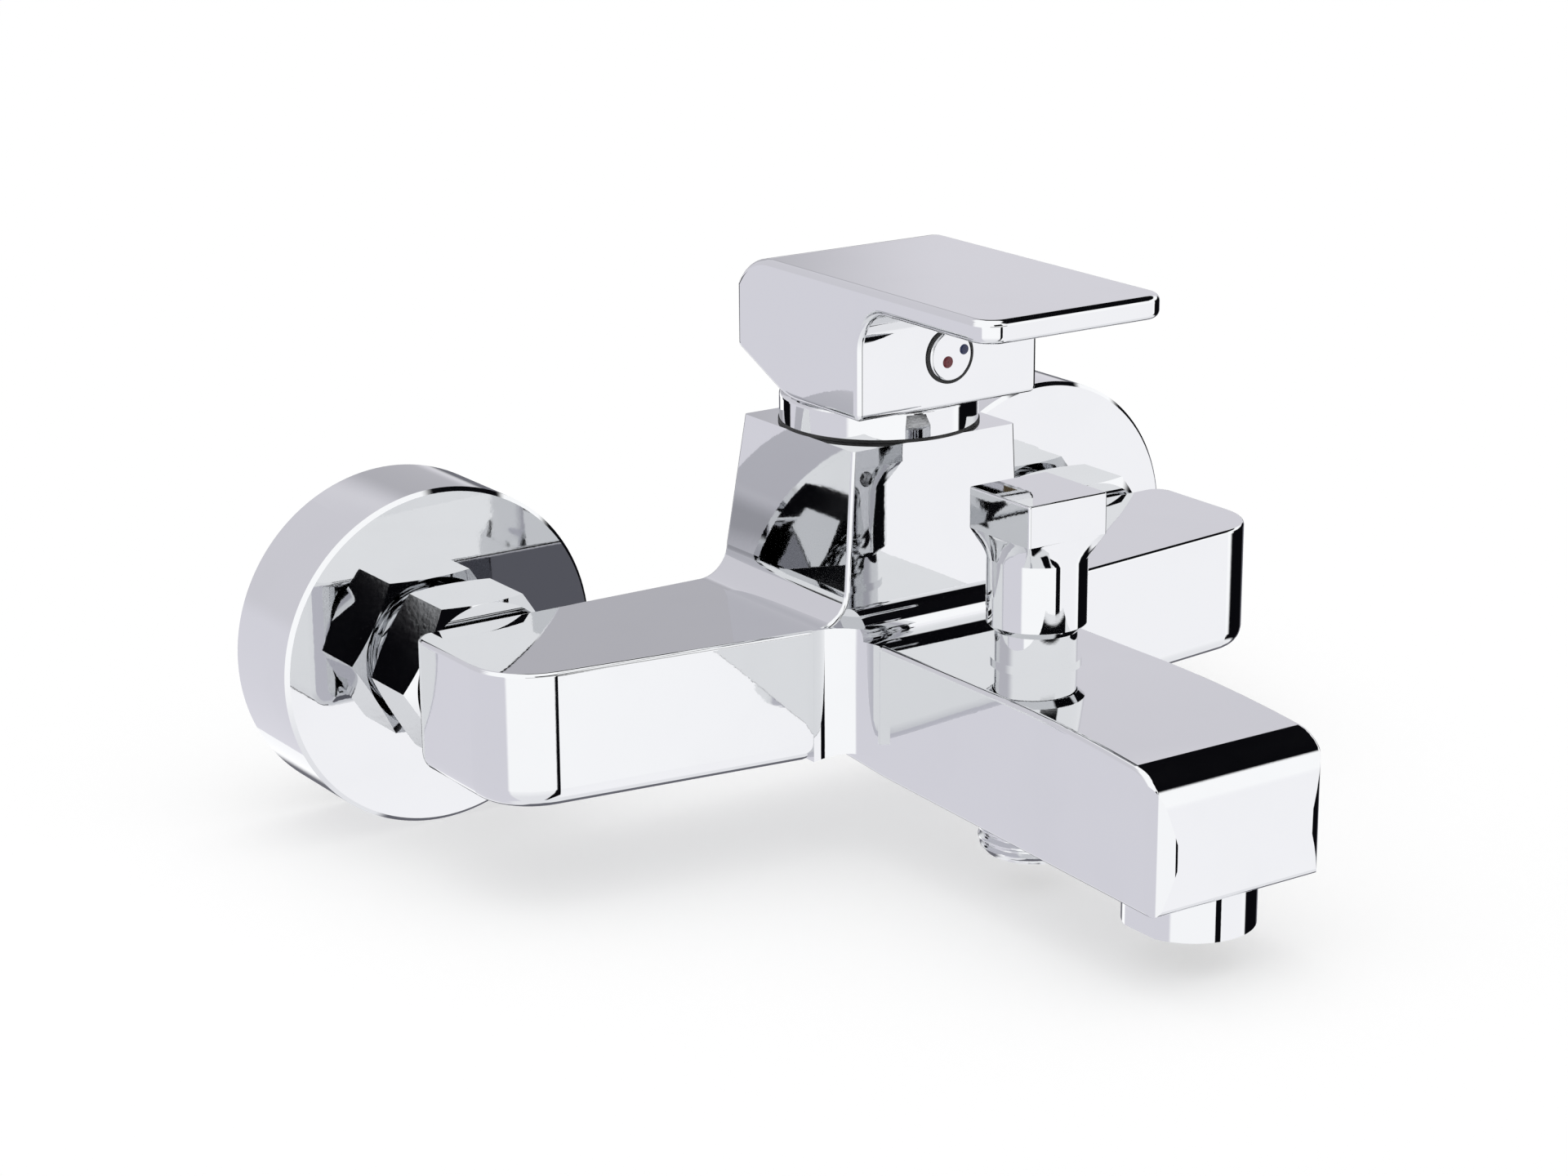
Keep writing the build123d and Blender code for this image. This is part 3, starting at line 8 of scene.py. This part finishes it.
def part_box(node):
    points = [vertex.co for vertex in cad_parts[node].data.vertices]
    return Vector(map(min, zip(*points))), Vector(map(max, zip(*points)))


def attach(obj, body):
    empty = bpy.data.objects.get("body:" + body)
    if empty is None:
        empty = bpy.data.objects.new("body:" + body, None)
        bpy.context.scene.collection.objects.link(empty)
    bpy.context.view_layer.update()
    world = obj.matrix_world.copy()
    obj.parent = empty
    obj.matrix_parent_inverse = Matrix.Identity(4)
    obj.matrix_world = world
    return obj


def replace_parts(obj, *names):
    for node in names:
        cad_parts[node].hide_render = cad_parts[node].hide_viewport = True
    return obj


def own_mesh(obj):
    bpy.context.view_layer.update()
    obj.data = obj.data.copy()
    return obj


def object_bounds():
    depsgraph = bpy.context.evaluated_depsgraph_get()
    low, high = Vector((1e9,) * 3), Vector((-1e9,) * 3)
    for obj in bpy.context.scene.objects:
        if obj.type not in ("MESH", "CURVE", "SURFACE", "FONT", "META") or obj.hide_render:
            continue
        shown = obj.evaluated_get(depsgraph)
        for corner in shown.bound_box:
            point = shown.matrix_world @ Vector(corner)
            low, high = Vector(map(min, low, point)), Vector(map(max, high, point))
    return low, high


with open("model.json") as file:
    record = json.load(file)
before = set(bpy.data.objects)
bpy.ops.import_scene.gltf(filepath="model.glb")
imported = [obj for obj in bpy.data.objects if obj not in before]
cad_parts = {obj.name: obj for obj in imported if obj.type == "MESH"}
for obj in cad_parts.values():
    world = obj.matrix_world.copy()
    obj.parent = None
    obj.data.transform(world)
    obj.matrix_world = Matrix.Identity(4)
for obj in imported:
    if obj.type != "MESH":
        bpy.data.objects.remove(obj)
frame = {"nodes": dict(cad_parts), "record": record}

cad_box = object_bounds()
MM = 0.001
bpy.context.scene.view_settings.view_transform = "Standard"

# Camera: the photograph's own view, its place in mm and its angles in radians
CAMERA_PLACE = Vector((-389.419, -606.258, 214.354))
CAMERA_AZIMUTH = 0.5951894615522327
CAMERA_ELEVATION = 0.2950571642268066
CAMERA_ROLL = -0.007044696866011277
CAMERA_SENSOR = 36.0
CAMERA_LENS = 80.625
CAMERA_NEAR = 0.01


def make_camera():
    level = cos(CAMERA_ELEVATION)
    forward = Vector((sin(CAMERA_AZIMUTH) * level, cos(CAMERA_AZIMUTH) * level, -sin(CAMERA_ELEVATION)))
    right = Vector((cos(CAMERA_AZIMUTH), -sin(CAMERA_AZIMUTH), 0.0))
    up = right.cross(forward)
    right_rolled = cos(CAMERA_ROLL) * right + sin(CAMERA_ROLL) * up
    up_rolled = -sin(CAMERA_ROLL) * right + cos(CAMERA_ROLL) * up
    data = bpy.data.cameras.new("photo_camera")
    data.sensor_width = CAMERA_SENSOR
    data.lens = CAMERA_LENS
    data.clip_start = CAMERA_NEAR
    camera = bpy.data.objects.new("photo_camera", data)
    turn = Matrix((right_rolled, up_rolled, -forward)).transposed()
    camera.matrix_world = Matrix.Translation(CAMERA_PLACE * MM) @ turn.to_4x4()
    bpy.context.scene.collection.objects.link(camera)
    bpy.context.scene.camera = camera


make_camera()


# Node helpers
class Nodes:
    """Builds a node tree with short calls."""

    def __init__(self, tree):
        self.tree = tree
        tree.nodes.clear()

    def node(self, kind, values=(), **settings):
        """Adds a node; each value is a place and a constant or a socket to link."""
        made = self.tree.nodes.new(kind)
        for key, value in settings.items():
            setattr(made, key, value)
        for place, value in values:
            if isinstance(value, bpy.types.NodeSocket):
                self.tree.links.new(value, made.inputs[place])
            else:
                made.inputs[place].default_value = value
        return made

    def math(self, operation, a, b=0.0, clamp=False):
        made = self.node("ShaderNodeMath", ((0, a), (1, b)), operation=operation, use_clamp=clamp)
        return made.outputs[0]

    def ramp(self, value, low, high):
        """0 below low, 1 above high, smooth between."""
        made = self.node("ShaderNodeMapRange", ((0, value), (1, low), (2, high), (3, 0.0), (4, 1.0)),
                         interpolation_type="SMOOTHSTEP")
        return made.outputs[0]

    def band(self, value, low, high, soft):
        """1 between low and high, with soft sides."""
        rise = self.ramp(value, low - soft, low + soft)
        fall = self.ramp(value, high - soft, high + soft)
        return self.math("SUBTRACT", rise, fall, clamp=True)

    def spread(self, value, low, high, least, most):
        """Takes a value between low and high to one between least and most."""
        made = self.node("ShaderNodeMapRange",
                         ((0, value), (1, low), (2, high), (3, least), (4, most)))
        return made.outputs[0]

    def mix(self, factor, a, b):
        made = self.node("ShaderNodeMix", ((0, factor), (6, a), (7, b)), data_type="RGBA")
        return made.outputs[2]

    def choose(self, factor, a, b):
        """Mixes two shaders."""
        return self.node("ShaderNodeMixShader", ((0, factor), (1, a), (2, b))).outputs[0]

    def noise(self, place, scale, detail):
        return self.node("ShaderNodeTexNoise", ((0, place), (2, scale), (3, detail))).outputs[0]

    def bump(self, height, strength, distance):
        return self.node("ShaderNodeBump",
                         (("Strength", strength), ("Distance", distance), ("Height", height)))

    def surface(self, colour, rough, normal, metallic=0.0):
        """The principled surface of a material, and its output."""
        shader = self.node("ShaderNodeBsdfPrincipled", (("Metallic", metallic), ("Base Color", colour),
                                                        ("Roughness", rough), ("Normal", normal)))
        self.node("ShaderNodeOutputMaterial", ((0, shader.outputs[0]),))


# World: a white tent with grey panels and black flags, as chrome is photographed
WHITE = (1.0, 1.0, 1.0, 1.0)
LOW_WHITE = (0.8, 0.8, 0.82, 1.0)
FRONT_WHITE = (0.935, 0.93, 0.945, 1.0)
GREY_BEHIND = (0.61, 0.6, 0.64, 1.0)
DARK_BEHIND = (0.42, 0.415, 0.445, 1.0)
LAVENDER = (0.665, 0.655, 0.705, 1.0)
DARK_GROUND = (0.13, 0.13, 0.15, 1.0)
BLACK = (0.003, 0.003, 0.004, 1.0)
STUDIO_STRENGTH = 1.33
PLAIN_FROM, PLAIN_TO = 30.0, 85.0
PLAIN_LOW, PLAIN_HIGH = 0.3, 2.6
BACKDROP_STRENGTH = 1.0


def make_world():
    world = bpy.data.worlds.new("studio")
    world.use_nodes = True
    bpy.context.scene.world = world
    n = Nodes(world.node_tree)
    direction = n.node("ShaderNodeTexCoord").outputs["Generated"]
    split = n.node("ShaderNodeSeparateXYZ", ((0, direction),)).outputs
    x, y, z = split[0], split[1], split[2]
    # Azimuth in degrees from the front (-Y) towards +X, and elevation in degrees
    azimuth = n.math("MULTIPLY", n.math("ARCTAN2", x, n.math("MULTIPLY", y, -1.0)), 180.0 / pi)
    elevation = n.math("MULTIPLY", n.math("ARCSINE", z), 180.0 / pi)

    def panel(under, shade, sides, soft, heights, soft_height):
        """Lays a panel over what is there, between two azimuths and two elevations."""
        across = n.band(azimuth, sides[0], sides[1], soft)
        upright = n.band(elevation, heights[0], heights[1], soft_height)
        return n.mix(n.math("MULTIPLY", across, upright), under, shade)

    # White all round, a little greyer towards the ground in front
    colour = n.mix(n.ramp(elevation, -12.0, -50.0), WHITE, LOW_WHITE)
    colour = panel(colour, FRONT_WHITE, (18.0, 60.0), 4.0, (-60.0, 6.0), 4.0)
    # Grey panel high behind, seen in every top face
    behind = n.math("MULTIPLY", n.ramp(y, 0.15, 0.55), n.band(elevation, -2.0, 30.0, 3.0))
    colour = n.mix(behind, colour, GREY_BEHIND)
    # Its darker part, seen in the left arm's top, and the grey beside and above it
    colour = panel(colour, DARK_BEHIND, (145.0, 176.0), 2.0, (2.0, 26.0), 4.0)
    colour = panel(colour, GREY_BEHIND, (-192.0, -125.0), 6.0, (-2.0, 48.0), 6.0)
    colour = panel(colour, GREY_BEHIND, (150.0, 192.0), 3.0, (28.0, 48.0), 3.0)
    # Pale lavender panel low on the left, seen in the left faces
    colour = panel(colour, LAVENDER, (-190.0, -72.0), 3.0, (-70.0, 2.0), 4.0)
    # Dark ground behind on the right, seen where one face mirrors another
    colour = panel(colour, DARK_GROUND, (108.0, 165.0), 4.0, (-80.0, -2.0), 3.0)
    # Black flag behind on the left, seen in the corners that turn away
    colour = panel(colour, BLACK, (-179.0, -159.0), 1.5, (-19.5, -2.0), 1.0)
    # Black flag on the right, seen in rounded right edges
    colour = panel(colour, BLACK, (69.0, 118.0), 2.0, (-32.0, 12.0), 3.0)
    # Black flag overhead on the right, seen in the spout's nose
    colour = panel(colour, BLACK, (36.0, 155.0), 4.0, (32.0, 61.0), 2.0)
    # Two black flags above the camera, seen where the flange mirrors the nut
    colour = panel(colour, BLACK, (-38.0, 30.0), 1.5, (8.0, 14.4), 0.8)
    colour = panel(colour, BLACK, (-22.0, 20.0), 2.0, (21.0, 44.0), 1.5)
    # Narrow black strip in front, seen beside the rounded corners
    colour = panel(colour, BLACK, (5.0, 15.5), 0.7, (-70.0, 5.0), 3.0)
    studio = n.node("ShaderNodeBackground", ((0, colour), (1, STUDIO_STRENGTH))).outputs[0]
    # Plain light for everything that isn't mirror bright, stronger from above
    overhead = n.spread(elevation, PLAIN_FROM, PLAIN_TO, PLAIN_LOW, PLAIN_HIGH)
    plain = n.node("ShaderNodeBackground", ((0, WHITE), (1, overhead))).outputs[0]
    # Plain white behind everything, to the camera
    backdrop = n.node("ShaderNodeBackground", ((0, WHITE), (1, BACKDROP_STRENGTH))).outputs[0]
    path = n.node("ShaderNodeLightPath").outputs
    lit = n.choose(path["Is Glossy Ray"], plain, studio)
    seen = n.choose(path["Is Camera Ray"], lit, backdrop)
    n.node("ShaderNodeOutputWorld", ((0, seen),))


make_world()


# Materials
def new_material(name):
    made = bpy.data.materials.new(name)
    made.use_nodes = True
    return made, Nodes(made.node_tree)


def darker(colour, share_left):
    return tuple(c * share_left for c in colour[:3]) + (1.0,)


def chrome_material(name, tint=(0.7, 0.708, 0.722, 1.0), wave=0.25, seed=0.0):
    """Polished plating: mirror bright, with the waviness of a polished casting and fine smears."""
    made, n = new_material(name)
    place = n.node("ShaderNodeTexCoord").outputs["Object"]
    shift = (seed, seed * 0.7, seed * 1.3)
    moved = n.node("ShaderNodeMapping", ((0, place), (1, shift))).outputs[0]
    smear = n.noise(moved, 60.0, 6.0)
    tone = n.mix(n.ramp(smear, 0.45, 0.8), tint, darker(tint, 0.985))
    rough = n.spread(smear, 0.35, 0.75, 0.012, 0.045)
    broad = n.bump(n.noise(moved, 32.0, 1.0), wave, 0.0004)
    fine = n.bump(n.noise(moved, 900.0, 4.0), 0.02, 0.0001)
    n.tree.links.new(broad.outputs[0], fine.inputs["Normal"])
    n.surface(tone, rough, fine.outputs[0], metallic=1.0)
    return made


def metal_material(name, colour, low, high, scale=250.0):
    """Turned bare metal: fine streaks of tone and roughness."""
    made, n = new_material(name)
    place = n.node("ShaderNodeTexCoord").outputs["Object"]
    streak = n.noise(place, scale, 5.0)
    tone = n.mix(n.ramp(streak, 0.3, 0.75), colour, darker(colour, 0.82))
    rough = n.spread(streak, 0.3, 0.7, low, high)
    bump = n.bump(streak, 0.12, 0.0001)
    n.surface(tone, rough, bump.outputs[0], metallic=1.0)
    return made


def solid_material(name, colour, low, high, scale=400.0, bump_strength=0.15):
    """Rubber, plastic or ceramic: mottled tone with a fine grain."""
    made, n = new_material(name)
    place = n.node("ShaderNodeTexCoord").outputs["Object"]
    grain = n.noise(place, scale, 4.0)
    cloud = n.noise(place, scale / 12.0, 2.0)
    tone = n.mix(n.ramp(cloud, 0.3, 0.75), colour, darker(colour, 0.9))
    rough = n.spread(grain, 0.3, 0.7, low, high)
    bump = n.bump(grain, bump_strength, 0.0001)
    n.surface(tone, rough, bump.outputs[0])
    return made


chrome = chrome_material("chrome_plate")
chrome_lever = chrome_material("chrome_lever", seed=2.0)
chrome_turned = chrome_material("chrome_turned", wave=0.05, seed=5.0)
brass = metal_material("turned_brass", (0.78, 0.58, 0.28, 1.0), 0.18, 0.32)
steel = metal_material("plain_steel", (0.6, 0.6, 0.61, 1.0), 0.2, 0.38)
rubber = solid_material("black_rubber", (0.02, 0.02, 0.021, 1.0), 0.55, 0.75)
ceramic = solid_material("white_ceramic", (0.88, 0.86, 0.82, 1.0), 0.08, 0.16, bump_strength=0.02)
plastic = solid_material("white_plastic", (0.8, 0.8, 0.78, 1.0), 0.35, 0.5)
hot_red = solid_material("hot_red", (0.16, 0.012, 0.02, 1.0), 0.2, 0.3, bump_strength=0.05)
cold_blue = solid_material("cold_blue", (0.01, 0.02, 0.09, 1.0), 0.2, 0.3, bump_strength=0.05)
slot_materials = {"chrome": chrome, "brass": brass, "rubber": rubber, "steel": steel,
                  "ceramic": ceramic, "plastic": plastic}
# Turned pieces are smoother than the casting
turned_nodes = ("dome_ring", "diverter_bonnet", "aerator_housing", "outlet_nipple", "indicator_plug",
                "wall_flange_left", "wall_flange_right", "inlet_nipple_left", "inlet_nipple_right")
own_materials = {name: chrome_turned for name in turned_nodes}
own_materials["lever_handle"] = chrome_lever


def dress(obj, material):
    obj.data.materials.clear()
    obj.data.materials.append(material)


for part in frame["record"]["subparts"]:
    node = part["node"]
    dress(frame["nodes"][node], own_materials.get(node, slot_materials[part["material_slot"]]))


def make_piece(name, data, material, body):
    """Places a mesh as a piece that rides on a body."""
    piece = bpy.data.objects.new(name, data)
    bpy.context.scene.collection.objects.link(piece)
    dress(piece, material)
    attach(piece, body)
    return piece


# Body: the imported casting, its corners, undersides and spout set closer to the photograph, in mm
ARM_END = 92.4
ARM_BACK = 41.0
ARM_FRONT = 83.1
ARM_BEND = 27.1
ARM_SWEEP = radians(7.0)
ARM_HALF_HEIGHT = 12.6
FRONT_CORNER, FRONT_CORNER_SEEN = 9.0, 13.0
BACK_CORNER, BACK_CORNER_SEEN = 10.0, 4.2
CORNER_CORE = 4.0
CORNER_SKIN = 0.5
CORNER_TURN_MARGIN = 0.01
UNDERSIDE_DROP = 1.5
DROP_START, DROP_END = 22.0, 30.0
SPOUT_LIFT = 1.4
SPOUT_LIFT_START, SPOUT_LIFT_END = 122.0, 168.0
SPOUT_STILL_BELOW, SPOUT_FULL_ABOVE = -10.0, 4.0
SLOPE_STEP = 0.01


def corner_centre(radius, front):
    """Centre of an arm's rounded corner, in plan, for the arm on the right."""
    x = ARM_END - radius
    if not front:
        return Vector((x, -ARM_BACK - radius))
    face = -ARM_FRONT + (x - ARM_BEND) * tan(ARM_SWEEP)
    return Vector((x, face + radius / cos(ARM_SWEEP)))


def recorner(plan, front, old, new):
    """Moves a point of a rounded corner as the radius changes, or returns None elsewhere."""
    centre = corner_centre(old, front)
    away = plan - centre
    turn = atan2(away.y, away.x)
    low, high = (ARM_SWEEP - pi / 2, 0.0) if front else (0.0, pi / 2)
    if not low - CORNER_TURN_MARGIN < turn < high + CORNER_TURN_MARGIN:
        return None
    if not CORNER_CORE < away.length < old + CORNER_SKIN:
        return None
    return plan + corner_centre(new, front) - centre + away.normalized() * (new - old)


def share(value, low, high):
    return min(1.0, max(0.0, (value - low) / (high - low)))


def stretch(point):
    """Lower undersides of the arms, and a higher end of the spout's top."""
    x, y, z = point
    drop = UNDERSIDE_DROP * share(abs(x), DROP_START, DROP_END) * share(-z, 0.0, ARM_HALF_HEIGHT)
    along = share(-y, SPOUT_LIFT_START, SPOUT_LIFT_END)
    lift = SPOUT_LIFT * along * share(z, SPOUT_STILL_BELOW, SPOUT_FULL_ABOVE)
    return Vector((x, y, z - drop + lift))


def stretched_normal(point, normal):
    """The normal that a surface has after the stretch."""
    columns = []
    for axis in (Vector((1, 0, 0)), Vector((0, 1, 0)), Vector((0, 0, 1))):
        ahead, behind = stretch(point + axis * SLOPE_STEP), stretch(point - axis * SLOPE_STEP)
        columns.append((ahead - behind) / (2 * SLOPE_STEP))
    turn = Matrix(columns).transposed()
    return (turn.inverted_safe().transposed() @ normal).normalized()


def make_body():
    data = frame["nodes"]["body_casting"].data.copy()
    normals = [corner.vector.copy() for corner in data.corner_normals]
    for loop in data.loops:
        point = data.vertices[loop.vertex_index].co / MM
        if stretch(point) != point:
            normals[loop.index] = stretched_normal(point, normals[loop.index])
    for vertex in data.vertices:
        point = vertex.co / MM
        side = 1.0 if point.x > 0 else -1.0
        plan = Vector((abs(point.x), point.y))
        moved = recorner(plan, True, FRONT_CORNER, FRONT_CORNER_SEEN)
        if moved is None:
            moved = recorner(plan, False, BACK_CORNER, BACK_CORNER_SEEN)
        if moved is not None:
            point = Vector((side * moved.x, moved.y, point.z))
        vertex.co = stretch(point) * MM
    data.normals_split_custom_set([tuple(normal) for normal in normals])
    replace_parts(make_piece("body_fitted", data, chrome, "fixed_body"), "body_casting")


make_body()


def make_spring():
    data = frame["nodes"]["diverter_spring"].data.copy()
    piece = make_piece("return_spring", data, steel, "fixed_body")
    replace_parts(piece, "diverter_spring")
    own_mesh(piece)


make_spring()

# Turned pieces: closed rings of points round an axis, with threads where a radius follows the turn
DOWN, UP = Vector((0.0, 0.0, -1.0)), Vector((0.0, 0.0, 1.0))
OUTWARD, RIGHT = Vector((0.0, -1.0, 0.0)), Vector((1.0, 0.0, 0.0))
PITCH = 1.814
THREAD_DEPTH = 1.0
THREAD_FLAT = 1.35
THREAD_SLOPE = 3.4
THREAD_FADE = 0.6 * PITCH
ROWS_PER_TURN = 10
SHARP_ANGLE = radians(35.0)


def thread_rows(start, end, crest):
    """Rows of a screw thread between two heights, fading into its core at both ends."""
    rows = []
    count = int(abs(end - start) / PITCH * ROWS_PER_TURN)

    def radius(height):
        def at(turn):
            phase = (height / PITCH - turn) % 1.0
            groove = min(1.0, max(0.0, THREAD_FLAT - THREAD_SLOPE * abs(phase - 0.5)))
            ends = min(1.0, abs(height - start) / THREAD_FADE, abs(end - height) / THREAD_FADE)
            return crest - THREAD_DEPTH * max(groove, 1.0 - ends)
        return at

    for i in range(count + 1):
        height = start + (end - start) * i / count
        rows.append((radius(height), height))
    return rows


def turned_piece(name, rows, base, along, aside, material, body, steps=72):
    """Rows are (radius, height) or (radius, height, shift) in mm round a closed profile.

    A radius may be a function of the turn, and a shift moves the row sideways.
    """
    mesh = bmesh.new()
    across = along.cross(aside)
    rings = []
    for radius, height, *moved in rows:
        ring = []
        shift = moved[0] if moved else 0.0
        for i in range(steps):
            turn = i / steps
            size = radius(turn) if callable(radius) else radius
            point = base + along * height + aside * shift
            point += (aside * cos(2 * pi * turn) + across * sin(2 * pi * turn)) * size
            ring.append(mesh.verts.new(point * MM))
        rings.append(ring)
    for k in range(len(rings)):
        low, high = rings[k], rings[(k + 1) % len(rings)]
        for i in range(steps):
            j = (i + 1) % steps
            mesh.faces.new((low[i], low[j], high[j], high[i]))
    bmesh.ops.recalc_face_normals(mesh, faces=mesh.faces)
    data = bpy.data.meshes.new(name)
    mesh.to_mesh(data)
    mesh.free()
    data.shade_smooth()
    data.set_sharp_from_angle(angle=SHARP_ANGLE)
    return make_piece(name, data, material, body)


def hexagon(across_flats):
    """Radius of a hexagon at each turn."""
    def at(turn):
        return across_flats / 2 / cos((turn * 2 * pi + pi / 6) % (pi / 3) - pi / 6)
    return at


# Shower outlet: radii and heights of the threaded nipple, in mm
OUTLET_BORE = 6.0
OUTLET_NECK = 8.98
OUTLET_KEY = 12.0
OUTLET_KEY_DEPTH = 7.0
OUTLET_KEY_LEAD = 0.4
THREAD_LEAD = 0.5
WASHER_GAP = 0.02


def make_outlet_nipple():
    low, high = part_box("outlet_nipple")
    top, bottom = -high[2] / MM, -low[2] / MM
    crest = (high[0] - low[0]) / 2 / MM
    axis = Vector((0.0, (low[1] + high[1]) / 2 / MM, 0.0))
    washer = -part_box("outlet_washer")[0][2] / MM
    key = hexagon(OUTLET_KEY)
    key_corner = OUTLET_KEY / 2 / cos(pi / 6)
    key_end = bottom - OUTLET_KEY_DEPTH
    rows = [(OUTLET_BORE, top), (OUTLET_NECK, top), (OUTLET_NECK, washer)]
    rows += thread_rows(washer + WASHER_GAP, bottom - THREAD_LEAD, crest)
    rows += [(crest - THREAD_DEPTH - 0.4, bottom), (key_corner + 0.5, bottom)]
    rows += [(key, bottom - OUTLET_KEY_LEAD), (key, key_end), (OUTLET_BORE, key_end)]
    piece = turned_piece("outlet_nipple_threaded", rows, axis, DOWN, RIGHT, chrome_turned,
                         "fixed_body")
    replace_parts(piece, "outlet_nipple")


# Eccentric unions: radii and heights from the wall's face, in mm
ECCENTRICITY = 7.5
PIPE_CREST = 10.48
PIPE_BORE = 6.4
MIXER_BORE = 7.6
PIPE_THREAD_END = 0.8
SHOULDER_RADIUS, SHOULDER_HEIGHT = 12.4, 1.0
MIXER_START = 9.0
MIXER_THREAD_START = 9.2
BORE_BEND = 2.0
END_CHAMFER = 0.3


def make_union(side):
    node = "eccentric_union_" + side
    low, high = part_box(node)
    axis = Vector(((low[0] + high[0]) / 2 / MM, 0.0, 0.0))
    wall_end, mixer_end, mixer_crest = -high[1] / MM, -low[1] / MM, high[2] / MM
    shift = -ECCENTRICITY
    pipe = thread_rows(wall_end + THREAD_LEAD, PIPE_THREAD_END, PIPE_CREST)
    rows = [(PIPE_BORE, wall_end, shift), (PIPE_CREST - THREAD_DEPTH - END_CHAMFER, wall_end, shift)]
    rows += [(radius, height, shift) for radius, height in pipe]
    rows += [(SHOULDER_RADIUS, SHOULDER_HEIGHT, shift), (mixer_crest, MIXER_START)]
    rows += thread_rows(MIXER_THREAD_START, mixer_end - THREAD_LEAD, mixer_crest)
    rows += [(mixer_crest - THREAD_DEPTH - END_CHAMFER, mixer_end), (MIXER_BORE, mixer_end)]
    rows += [(MIXER_BORE, MIXER_START), (PIPE_BORE, BORE_BEND, shift)]
    piece = turned_piece("eccentric_union_threaded_" + side, rows, axis, OUTWARD, UP, chrome_turned,
                         "fixed_body")
    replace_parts(piece, node)


make_outlet_nipple()
make_union("left")
make_union("right")

# Painted shade: thin black lip round the foot of the ring under the lever, put where the gap at its
# base lies in shadow, in mm
GAP = 0.01
LIP_REACH = 0.22
LIP_HEIGHT = 0.62
LIP_ROUND = 0.06
LIP_EDGE = 0.08


def make_ring_shade_lip():
    low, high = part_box("dome_ring")
    axis = Vector((0.0, (low[1] + high[1]) / 2 / MM, 0.0))
    radius, foot = (high[0] - low[0]) / 2 / MM, low[2] / MM
    inner, outer = radius + GAP, radius + LIP_REACH
    head = foot + LIP_HEIGHT
    rows = [(inner, foot + GAP), (outer - LIP_ROUND, foot + GAP), (outer, foot + LIP_EDGE),
            (outer, head - LIP_EDGE), (outer - LIP_ROUND, head), (inner, head)]
    # The black lip is painted shade: it stands in for the shadow in the gap between the ring and the
    # body
    turned_piece("ring_painted_shade_lip", rows, axis, UP, RIGHT, rubber, "fixed_body", steps=96)


make_ring_shade_lip()

# Plug in the lever's front: a dark seat round it, and low domed marks on its face, in mm
SEAT_REACH = 0.55
SEAT_DEPTH = 0.62
SEAT_HEIGHT = 0.32
SEAT_EDGE = 0.2
SEAT_ROUND = 0.15
# Each mark: name, place across and up from the plug's centre, radius and material
PLUG_MARKS = (("hot_mark", -0.9, -1.1, 1.15, hot_red),
              ("cold_mark", 2.9, 0.9, 1.0, cold_blue))


def make_plug_marks():
    low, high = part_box("indicator_plug")
    centre = Vector(((low[0] + high[0]) / 2, low[1], (low[2] + high[2]) / 2)) / MM
    radius = (high[0] - low[0]) / 2 / MM
    seat = Vector((centre.x, centre.y + SEAT_DEPTH, centre.z))
    inner, outer = radius + GAP, radius + SEAT_REACH
    rows = [(inner, 0.0), (outer, 0.0), (outer, SEAT_EDGE), (outer - SEAT_ROUND, SEAT_HEIGHT),
            (inner, SEAT_HEIGHT)]
    turned_piece("plug_seat", rows, seat, OUTWARD, UP, rubber, "lever")
    for name, x, z, size, material in PLUG_MARKS:
        place = Vector((centre.x + x, centre.y, centre.z + z))
        dome = [(0.02, 0.0), (size, 0.0), (size, 0.04), (size - 0.12, 0.12), (size * 0.5, 0.19),
                (0.02, 0.21)]
        turned_piece(name, dome, place, OUTWARD, UP, material, "lever", steps=48)


make_plug_marks()

# Floor: white, keeps the soft shadow, and lets the metal see the studio below the horizon
FLOOR_HALF_SIZE = 3.0
FLOOR_GAP = 0.0002
FLOOR_COLOUR = (0.97, 0.97, 0.97, 1.0)
FLOOR_LIFT_SHARE = 0.55


def make_floor():
    size = FLOOR_HALF_SIZE
    mesh = bpy.data.meshes.new("floor")
    corners = [(-size, -size, 0.0), (size, -size, 0.0), (size, size, 0.0), (-size, size, 0.0)]
    mesh.from_pydata(corners, [], [(0, 1, 2, 3)])
    floor = bpy.data.objects.new("floor", mesh)
    floor.location.z = cad_box[0][2] - FLOOR_GAP
    bpy.context.scene.collection.objects.link(floor)
    made, n = new_material("floor_white")
    path = n.node("ShaderNodeLightPath").outputs
    matte = n.node("ShaderNodeBsdfDiffuse", ((0, FLOOR_COLOUR),)).outputs[0]
    backdrop = n.node("ShaderNodeEmission", ((0, WHITE), (1, BACKDROP_STRENGTH))).outputs[0]
    clear = n.node("ShaderNodeBsdfTransparent").outputs[0]
    lift = n.math("MULTIPLY", path["Is Camera Ray"], FLOOR_LIFT_SHARE)
    shown = n.choose(path["Is Glossy Ray"], n.choose(lift, matte, backdrop), clear)
    n.node("ShaderNodeOutputMaterial", ((0, shown),))
    floor.data.materials.append(made)


make_floor()
